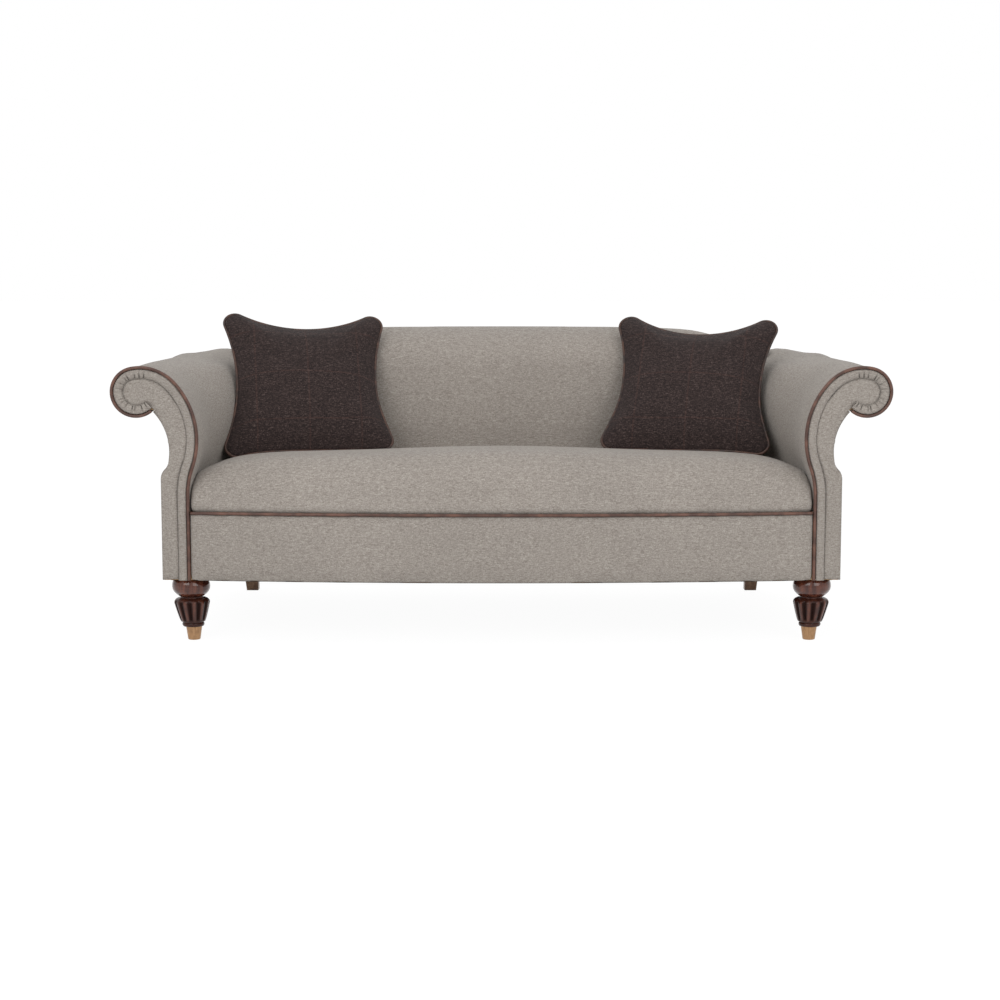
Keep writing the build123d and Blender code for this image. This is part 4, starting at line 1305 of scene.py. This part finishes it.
@dataclass
class FrontLeg:
    """One turned front leg, with a bun, a reeded vase, a ring and a metal ferrule."""

    shop: Workshop
    side: Side
    reeds: int = 12
    reed_depth: float = 0.0062
    lean: float = 0.042
    vase_foot: float = 0.049
    vase_top: float = 0.100
    bun_foot: float = 0.114
    reed_round: float = 1.96
    reed_rise: float = 0.006
    reed_fall: Span = (0.005, 0.007)
    core: float = 0.02
    flank: Span = (0.1, 0.2)
    # Share of painted shade on everything below the bun; the bun has none.
    stain: float = 0.6
    leg_steps: int = 240
    cup_steps: int = 64

    def build(self) -> None:
        """Make the leg and its ferrule."""
        low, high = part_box(f"{self.side.word}_front_leg")
        self.place = Vector(((low.x + high.x) / 2, (low.y + high.y) / 2, 0.0))
        self.leg()
        self.ferrule()

    def turned(self, name: str, profile: Sequence[tuple[float, float]], steps: int) -> bmesh.types.BMesh:
        """Turn a profile about the leg's axis.

        Args:
            name: The piece's name.
            profile: Radius and height of each point, from the axis at the foot to the axis at the top.
            steps: How many faces go round.

        Returns:
            The closed bmesh, still at the origin.
        """
        shape = bmesh.new()
        line = [shape.verts.new((radius, 0.0, height)) for radius, height in profile]
        edges = [shape.edges.new(pair) for pair in zip(line, line[1:])]
        bmesh.ops.spin(
            shape,
            geom=line + edges,
            cent=(0.0, 0.0, 0.0),
            axis=(0.0, 0.0, 1.0),
            angle=math.tau,
            steps=steps,
            use_merge=True,
        )
        bmesh.ops.remove_doubles(shape, verts=shape.verts, dist=1e-6)
        bmesh.ops.recalc_face_normals(shape, faces=shape.faces)
        log.info("%s: turned in %d steps", name, steps)
        return shape

    def leg(self) -> None:
        """Turn the leg, cut its reeds and paint shade into everything below the bun."""
        peg = [(0.0, 0.0023), (0.0152, 0.0023), (0.0178, 0.035)]
        ring = [(0.026, 0.035), (0.0277, 0.0375), (0.028, 0.040), (0.0277, 0.0425), (0.026, 0.045)]
        vase = [(0.0262, 0.0462), (0.031, 0.0475), (0.0335, 0.053), (0.0365, 0.0625), (0.0397, 0.0735)]
        vase += [(0.0428, 0.085), (0.0455, 0.096), (0.0447, 0.1005), (0.0415, 0.1045), (0.0362, 0.1072)]
        neck = [(0.0305, 0.1084), (0.029, 0.1095), (0.029, 0.1122)]
        bun = [(0.0322, 0.1136), (0.0385, 0.1180), (0.0440, 0.1240), (0.0475, 0.1310), (0.0485, 0.1380)]
        bun += [(0.0478, 0.1450), (0.0452, 0.1530), (0.0408, 0.1600), (0.0, 0.1600)]
        knots = peg + ring + vase + neck + bun
        profile = [knots[0]]
        for (r0, z0), (r1, z1) in zip(knots, knots[1:]):
            profile += [(r0 + (r1 - r0) * share, z0 + (z1 - z0) * share) for share in (0.34, 0.67, 1.0)]
        name = f"{self.side.word}_turned_leg"
        shape = self.turned(name, profile, self.leg_steps)
        sector = math.tau / self.reeds
        # Painted shade: none on the bun, the set share below it, more on the reeds' flanks and less on their
        # tops, which stand lighter as a painted highlight.
        groove = shape.verts.layers.float.new("groove")
        for vert in shape.verts:
            vert[groove] = 0.0 if vert.co.z > self.bun_foot else self.stain
            radius = math.hypot(vert.co.x, vert.co.y)
            rise = min(1.0, max(0.0, (vert.co.z - self.vase_foot) / self.reed_rise))
            fall = min(1.0, max(0.0, (self.vase_top + self.reed_fall[0] - vert.co.z) / self.reed_fall[1]))
            if radius < self.core or rise * fall <= 0:
                continue
            off = (math.atan2(vert.co.y, vert.co.x) / sector) % 1.0 - 0.5
            lobe = 1 - math.sqrt(max(0.0, 1 - (self.reed_round * off) ** 2))
            cut = 1 - self.reed_depth * lobe * rise * fall / radius
            vert.co.x *= cut
            vert.co.y *= cut
            # Reed tops get a painted highlight, their flanks painted shade.
            flank = min(1.0, max(0.0, (abs(off) - self.flank[0]) / self.flank[1]))
            vert[groove] = self.stain + (0.4 * flank - 0.4 * (1 - flank)) * rise * fall
        for vert in shape.verts:
            vert.co.x += self.side.value * self.lean * vert.co.z
        bmesh.ops.translate(shape, verts=shape.verts, vec=self.place)
        leg = self.shop.start(name, shape)
        self.shop.hand_over(leg, "mahogany", [f"{self.side.word}_front_leg"])

    def ferrule(self) -> None:
        """Turn the tapered metal cup on the foot."""
        outside = [(0.0, 0.0), (0.0145, 0.0), (0.0153, 0.0005), (0.0157, 0.0015), (0.0203, 0.0335)]
        lip = [(0.0203, 0.0342), (0.0198, 0.0347), (0.0187, 0.0347), (0.0182, 0.0340)]
        inside = [(0.0136, 0.0022), (0.0, 0.0022)]
        name = f"{self.side.word}_brass_cup"
        shape = self.turned(name, outside + lip + inside, self.cup_steps)
        bmesh.ops.translate(shape, verts=shape.verts, vec=self.place)
        cup = self.shop.start(name, shape)
        self.shop.hand_over(cup, "brass_ferrule", [f"{self.side.word}_front_ferrule"])


@dataclass
class RearLeg:
    """One short rear leg, square, tapered and kicked back, with eased edges."""

    shop: Workshop
    side: Side
    easing: float = 0.0014

    def build(self) -> None:
        """Copy the block and ease its edges."""
        node = f"{self.side.word}_rear_leg"
        leg = self.shop.start(f"{self.side.word}_square_leg", self.shop.merged_copy(node))
        self.shop.soften(leg, self.easing)
        self.shop.hand_over(leg, "mahogany", [node])
        # Painted light: the rear legs take the lighter copy of the mahogany in place of their slot's finish.
        leg.data.materials[0] = self.shop.finishes.tan_wood


@dataclass
class ScatterCushion:
    """One loose cushion: a stuffed cover with round ears and drawn-in sides, and its piping."""

    shop: Workshop
    side: Side
    seat: bpy.types.Object
    yaw: float
    tilt: float
    roll: float
    waists: tuple[float, float, float, float]
    extent: float = 0.2145
    ear: float = 0.027
    point: float = 0.009
    half: float = 0.057
    seam_lap: float = 0.0036
    piping_radius: float = 0.0035
    piping_reach: float = 0.0038
    side_steps: int = 26
    ear_steps: int = 28
    point_sharpness: int = 24
    rings: tuple[float, ...] = (0.99, 0.97, 0.94, 0.9, 0.85, 0.78, 0.7, 0.6, 0.49, 0.37, 0.24, 0.11)
    cover_voxel: float = 0.0052
    cover_cap: float = 0.007
    swell_height: float = 0.045
    back_share: float = 0.4
    sag_half: float = 0.195
    sag_stops: int = 27
    sag_near: float = 0.012
    sag_run: float = 0.17
    rest_gap: float = 0.0006

    def build(self) -> None:
        """Make the cover and the piping."""
        low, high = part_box(f"{self.side.word}_cushion_piping")
        turn, fall = math.radians(self.yaw), math.radians(self.tilt)
        across = Vector((math.cos(turn), math.sin(turn), 0.0))
        out = Vector((math.cos(fall) * math.sin(turn), -math.cos(fall) * math.cos(turn), math.sin(fall)))
        lean = Matrix((across, out.cross(across), out)).transposed().to_4x4()
        roll = Matrix.Rotation(math.radians(self.roll), 4, "Z")
        self.spot = Matrix.Translation((low + high) / 2) @ lean @ roll
        self.cover()
        self.piping()

    def rim(self, grow: float) -> list[tuple[float, float, float]]:
        """Walk round the seam: four drawn-in sides that run smoothly into round ears.

        Args:
            grow: How far outside the seam the line runs.

        Returns:
            X, Y and heading of each place, anticlockwise from the middle of the top side.
        """
        ear = self.ear + grow
        middle = self.extent - self.ear
        arcs = [self.side_arc(waist + grow, middle, ear) for waist in self.waists]
        walk = []
        for number, spin in enumerate((0.0, 0.5 * math.pi, math.pi, 1.5 * math.pi)):
            centre, radius, swing = arcs[number]
            next_centre, next_radius, next_swing = arcs[(number + 1) % 4]
            quarter = []
            for place in range(self.side_steps):
                turn = swing * place / self.side_steps
                quarter.append((-radius * math.sin(turn), centre - radius * math.cos(turn), math.pi - turn))
            for place in range(self.ear_steps):
                angle = math.pi / 2 - swing + (math.pi / 2 + swing + next_swing) * place / self.ear_steps
                x, y = -middle + ear * math.cos(angle), middle + ear * math.sin(angle)
                quarter.append((x, y, angle + math.pi / 2))
            for place in range(self.side_steps):
                turn = next_swing * (1 - place / self.side_steps)
                x, y = next_radius * math.cos(turn) - next_centre, next_radius * math.sin(turn)
                quarter.append((x, y, 1.5 * math.pi + turn))
            for x, y, heading in quarter:
                across = x * math.cos(spin) - y * math.sin(spin)
                along = x * math.sin(spin) + y * math.cos(spin)
                far = math.hypot(across, along)
                diagonal = (abs(across) - along) / (far * math.sqrt(2)) if along < 0 else 0.0
                stretch = 1 + self.point * diagonal**self.point_sharpness / far
                walk.append((across * stretch, along * stretch, heading + spin))
        return walk

    @staticmethod
    def side_arc(waist: float, middle: float, ear: float) -> tuple[float, float, float]:
        """Find the drawn-in arc of one side that runs smoothly into its two ears.

        Args:
            waist: Distance of the side from the cushion's middle.
            middle: Place of the ears' centres along both axes.
            ear: The ears' radius.

        Returns:
            Distance of the arc's centre, its radius and half of its angle.
        """
        centre = (2 * middle**2 - (waist - ear) ** 2) / (2 * (middle + ear - waist))
        return centre, centre - waist, math.atan2(middle, centre - middle)

    def sit(self, piece: bpy.types.Object) -> None:
        """Let the bottom of a piece sag until the cushion's seam lies along the seat.

        Args:
            piece: The cover or the piping, in its place.
        """
        mesh = self.seat.data
        faces = [list(face.vertices) for face in mesh.polygons]
        seat = BVHTree.FromPolygons([vert.co for vert in mesh.vertices], faces)
        rim = [(x, y) for x, y, _ in self.rim(self.piping_reach) if y < 0]
        stops = np.linspace(-self.sag_half, self.sag_half, self.sag_stops)
        gaps = []
        for stop in stops:
            low = min(y for x, y in rim if abs(x - stop) < self.sag_near)
            spot = self.spot @ Vector((stop, low, 0.0))
            hit = seat.ray_cast(spot + Vector((0.0, 0.0, 0.2)), Vector((0.0, 0.0, -1.0)))[0]
            gaps.append(spot.z - self.piping_radius - self.rest_gap - hit.z)
        places = self.shop.points(piece)
        home = np.array(self.spot.inverted())
        local = places @ home[:3, :3].T + home[:3, 3]
        even = np.convolve(np.pad(gaps, 1, "edge"), (0.25, 0.5, 0.25), "valid")
        sag = np.interp(local[:, 0], stops, even)
        places[:, 2] -= sag * StuffedCorner.ease(-local[:, 1], 0.0, self.sag_run)
        self.shop.move(piece, places)

    def cover(self) -> None:
        """Stuff the cover: rings that climb from the seam to the crown, on both sides."""
        shape = bmesh.new()
        seam = [shape.verts.new((x, y, 0.0)) for x, y, _ in self.rim(self.seam_lap)]
        edges = [shape.edges.new(pair) for pair in zip(seam, seam[1:] + seam[:1])]
        for way in (1.0, -1.0):
            ring = edges
            size = 1.0
            for share in self.rings:
                made = bmesh.ops.extrude_edge_only(shape, edges=ring)["geom"]
                verts = [part for part in made if isinstance(part, bmesh.types.BMVert)]
                keep = set(verts)
                found = [part for part in made if isinstance(part, bmesh.types.BMEdge)]
                ring = [edge for edge in found if edge.verts[0] in keep and edge.verts[1] in keep]
                bmesh.ops.scale(shape, verts=verts, vec=(share / size, share / size, 1.0))
                size = share
                for vert in verts:
                    vert.co.z = way * self.loft(vert.co, share)
            bmesh.ops.contextual_create(shape, geom=ring)
        bmesh.ops.recalc_face_normals(shape, faces=shape.faces)
        cover = self.shop.start(f"{self.side.word}_cushion_cover", shape)
        self.shop.remesh(cover, self.cover_voxel)
        self.shop.relax(cover, 2)

        def reach(places: np.ndarray, normals: np.ndarray) -> np.ndarray:
            """Let the front swell more than the back, and hold the seam."""
            high = np.clip(np.abs(places[:, 2]) / self.swell_height, 0, 1)
            return high * np.where(places[:, 2] > 0, 1.0, self.back_share)

        self.shop.swell(cover, self.cover_cap, reach)
        flat = self.shop.points(cover)
        for name, axis in (("across", 0), ("along", 1)):
            ways = cover.data.attributes.new(name, "FLOAT", "POINT")
            ways.data.foreach_set("value", np.ascontiguousarray(flat[:, axis]))
        cover.data.transform(self.spot)
        self.sit(cover)
        nodes = [f"{self.side.word}_cushion_{part}" for part in ("front", "back", "pad")]
        self.shop.hand_over(cover, "dark_tweed", nodes, f"{self.side.word}_cushion", Fill.PLUMP)

    def loft(self, place: Vector, share: float) -> float:
        """Give the stuffed height over a place in the seam plane, lower towards the ears.

        Args:
            place: The place.
            share: How far out it is, from 0 at the middle to 1 at the seam.

        Returns:
            The height above the seam.
        """
        diagonal = 2 * abs(place.x * place.y) / (place.x**2 + place.y**2)
        fall = 2.3 - 0.9 * diagonal**2
        return self.half * (1 - share**fall) ** 0.62

    def piping(self) -> None:
        """Run the leather piping round the seam."""
        stations = []
        for x, y, heading in self.rim(self.piping_reach):
            ahead = Vector((math.cos(heading), math.sin(heading), 0.0))
            up = Vector((0.0, 0.0, 1.0))
            frame_turn = Matrix((up, ahead.cross(up), ahead)).transposed().to_4x4()
            stations.append(self.spot @ Matrix.Translation((x, y, 0.0)) @ frame_turn)
        name = f"{self.side.word}_cushion_leather"
        cord = self.shop.tube(name, stations, self.piping_radius, closed=True)
        self.sit(cord)
        node = f"{self.side.word}_cushion_piping"
        self.shop.hand_over(cord, "leather_trim", [node], f"{self.side.word}_cushion")
        # The cushions' piping takes the darker copy of the piping leather in place of its slot's finish.
        cord.data.materials[0] = self.shop.finishes.dark_leather


@dataclass
class StretchedCloth:
    """A flat cloth stretched over the frame or the springs."""

    shop: Workshop
    name: str
    node: str
    slot: str
    rests_on: list[str]

    def build(self) -> None:
        """Copy the cloth as the CAD made it and dress it."""
        cloth = self.shop.start(self.name, self.shop.merged_copy(self.node))
        low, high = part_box(self.node)
        self.shop.hand_over(cloth, self.slot, [self.node])


@dataclass
class HiddenFrame:
    """The timbers, springs, webbing and fasteners inside, which stay as the CAD made them."""

    finishes: Finishes

    def dress(self) -> None:
        """Give every shown CAD node the material of its slot."""
        for row in frame["record"]["subparts"]:
            node = frame["nodes"][row["node"]]
            if node.hide_render:
                continue
            node.data.materials.clear()
            node.data.materials.append(self.finishes.by_slot[row["material_slot"]])
            log.info("%s: dressed in %s", row["node"], row["material_slot"])


@dataclass
class Studio:
    """The pale floor, the soft lights, the white surround and the camera."""

    eye: tuple[float, float, float] = (0.0, -5.625, 1.008)
    pitch: float = 7.03
    lens: float = 75.3
    surround: float = 0.80
    shift: float = -0.0015

    def build(self) -> None:
        """Set the whole stage."""
        self.floor()
        self.world()
        self.lamp("key", (-2.4, -4.6, 3.1), (3.0, 2.2), 62.0)
        self.lamp("fill", (2.6, -4.8, 2.6), (3.0, 2.2), 52.0)
        self.lamp("top", (0.0, -0.7, 3.4), (3.4, 1.6), 6.0)
        self.camera()

    def floor(self) -> None:
        """Lay a pale floor that keeps the shadow and meets the white surround."""
        shape = bmesh.new()
        bmesh.ops.create_grid(shape, x_segments=1, y_segments=1, size=30.0)
        floor = Workshop.start("floor", shape)
        sheet = NodeSheet("pale_floor")
        path = sheet.node("ShaderNodeLightPath")
        seen = Value(sheet, path.outputs["Is Camera Ray"])
        for ray in ("Is Glossy Ray", "Is Transmission Ray"):
            seen = seen.math("MAXIMUM", seen, Value(sheet, path.outputs[ray]))
        tone = sheet.noise((3.0, 3.0, 3.0), 2.0)
        pale = sheet.mix(tone, (0.80, 0.80, 0.80), (0.82, 0.82, 0.82))
        matt = sheet.node("ShaderNodeBsdfDiffuse", {}, {"Color": pale})
        faint = sheet.node("ShaderNodeBsdfDiffuse", {}, {"Color": (0.09, 0.09, 0.09)})
        glow = sheet.node("ShaderNodeEmission", {}, {"Color": (1.0, 1.0, 1.0), "Strength": 0.955})
        white = sheet.node("ShaderNodeAddShader", {}, {0: faint.outputs[0], 1: glow.outputs[0]})
        both = sheet.node("ShaderNodeMixShader", {}, {0: seen, 1: matt.outputs[0], 2: white.outputs[0]})
        sheet.feed(sheet.out.inputs["Surface"], both.outputs[0])
        floor.data.materials.append(sheet.material)

    def world(self) -> None:
        """Surround the sofa with soft light, white to the camera."""
        world = bpy.data.worlds.new("surround")
        world.use_nodes = True
        bpy.context.scene.world = world
        tree = world.node_tree
        tree.nodes.clear()
        path = tree.nodes.new("ShaderNodeLightPath")
        soft = tree.nodes.new("ShaderNodeBackground")
        soft.inputs["Strength"].default_value = self.surround
        white = tree.nodes.new("ShaderNodeBackground")
        for light in (soft, white):
            light.inputs["Color"].default_value = (1.0, 1.0, 1.0, 1.0)
        both = tree.nodes.new("ShaderNodeMixShader")
        out = tree.nodes.new("ShaderNodeOutputWorld")
        tree.links.new(path.outputs["Is Camera Ray"], both.inputs[0])
        tree.links.new(soft.outputs[0], both.inputs[1])
        tree.links.new(white.outputs[0], both.inputs[2])
        tree.links.new(both.outputs[0], out.inputs["Surface"])

    @staticmethod
    def lamp(name: str, place: tuple[float, float, float], size: tuple[float, float], power: float) -> None:
        """Hang a soft box that faces the sofa.

        Args:
            name: The lamp's name.
            place: Where it hangs.
            size: Its width and height.
            power: Its power in watts.
        """
        light = bpy.data.lights.new(name, "AREA")
        light.shape = "RECTANGLE"
        light.size, light.size_y = size
        light.energy = power
        lamp = bpy.data.objects.new(name, light)
        lamp.location = place
        lamp.rotation_euler = (Vector((0.0, 0.0, 0.45)) - Vector(place)).to_track_quat("-Z", "Y").to_euler()
        bpy.context.scene.collection.objects.link(lamp)

    def camera(self) -> None:
        """Stand the camera where the photograph was taken from."""
        data = bpy.data.cameras.new("camera")
        data.sensor_width = 36.0
        data.lens = self.lens
        data.shift_x = self.shift
        camera = bpy.data.objects.new("camera", data)
        camera.location = self.eye
        camera.rotation_euler = (math.radians(90.0 - self.pitch), 0.0, 0.0)
        bpy.context.scene.collection.objects.link(camera)
        bpy.context.scene.camera = camera


def main() -> None:
    """Build every sub-assembly, dress the frame and set the stage."""
    logging.basicConfig(level=logging.INFO, format="%(name)s %(message)s")
    bpy.context.scene.view_settings.view_transform = "Standard"
    finishes = Finishes()
    shop = Workshop(finishes)
    line = ScrollLine()
    corner = StuffedCorner()
    seat = SeatAssembly(shop, corner).build()
    BackAssembly(shop, corner).build()
    for side in Side:
        ArmAssembly(shop, side, line, corner).build()
        FrontLeg(shop, side).build()
        RearLeg(shop, side).build()
    ScatterCushion(shop, Side.LEFT, seat, 12.0, 36.5, -2.0, (0.167, 0.184, 0.2125, 0.186)).build()
    ScatterCushion(shop, Side.RIGHT, seat, -11.0, 38.0, -1.3, (0.160, 0.184, 0.2125, 0.182)).build()
    rails = ["front_seat_rail", "back_seat_rail"]
    StretchedCloth(shop, "under_cover", "dust_cover", "under_cloth", rails).build()
    StretchedCloth(shop, "spring_cloth", "seat_hessian", "hessian", ["seat_springs"]).build()
    HiddenFrame(finishes).dress()
    Studio().build()


if __name__ == "__main__":
    main()
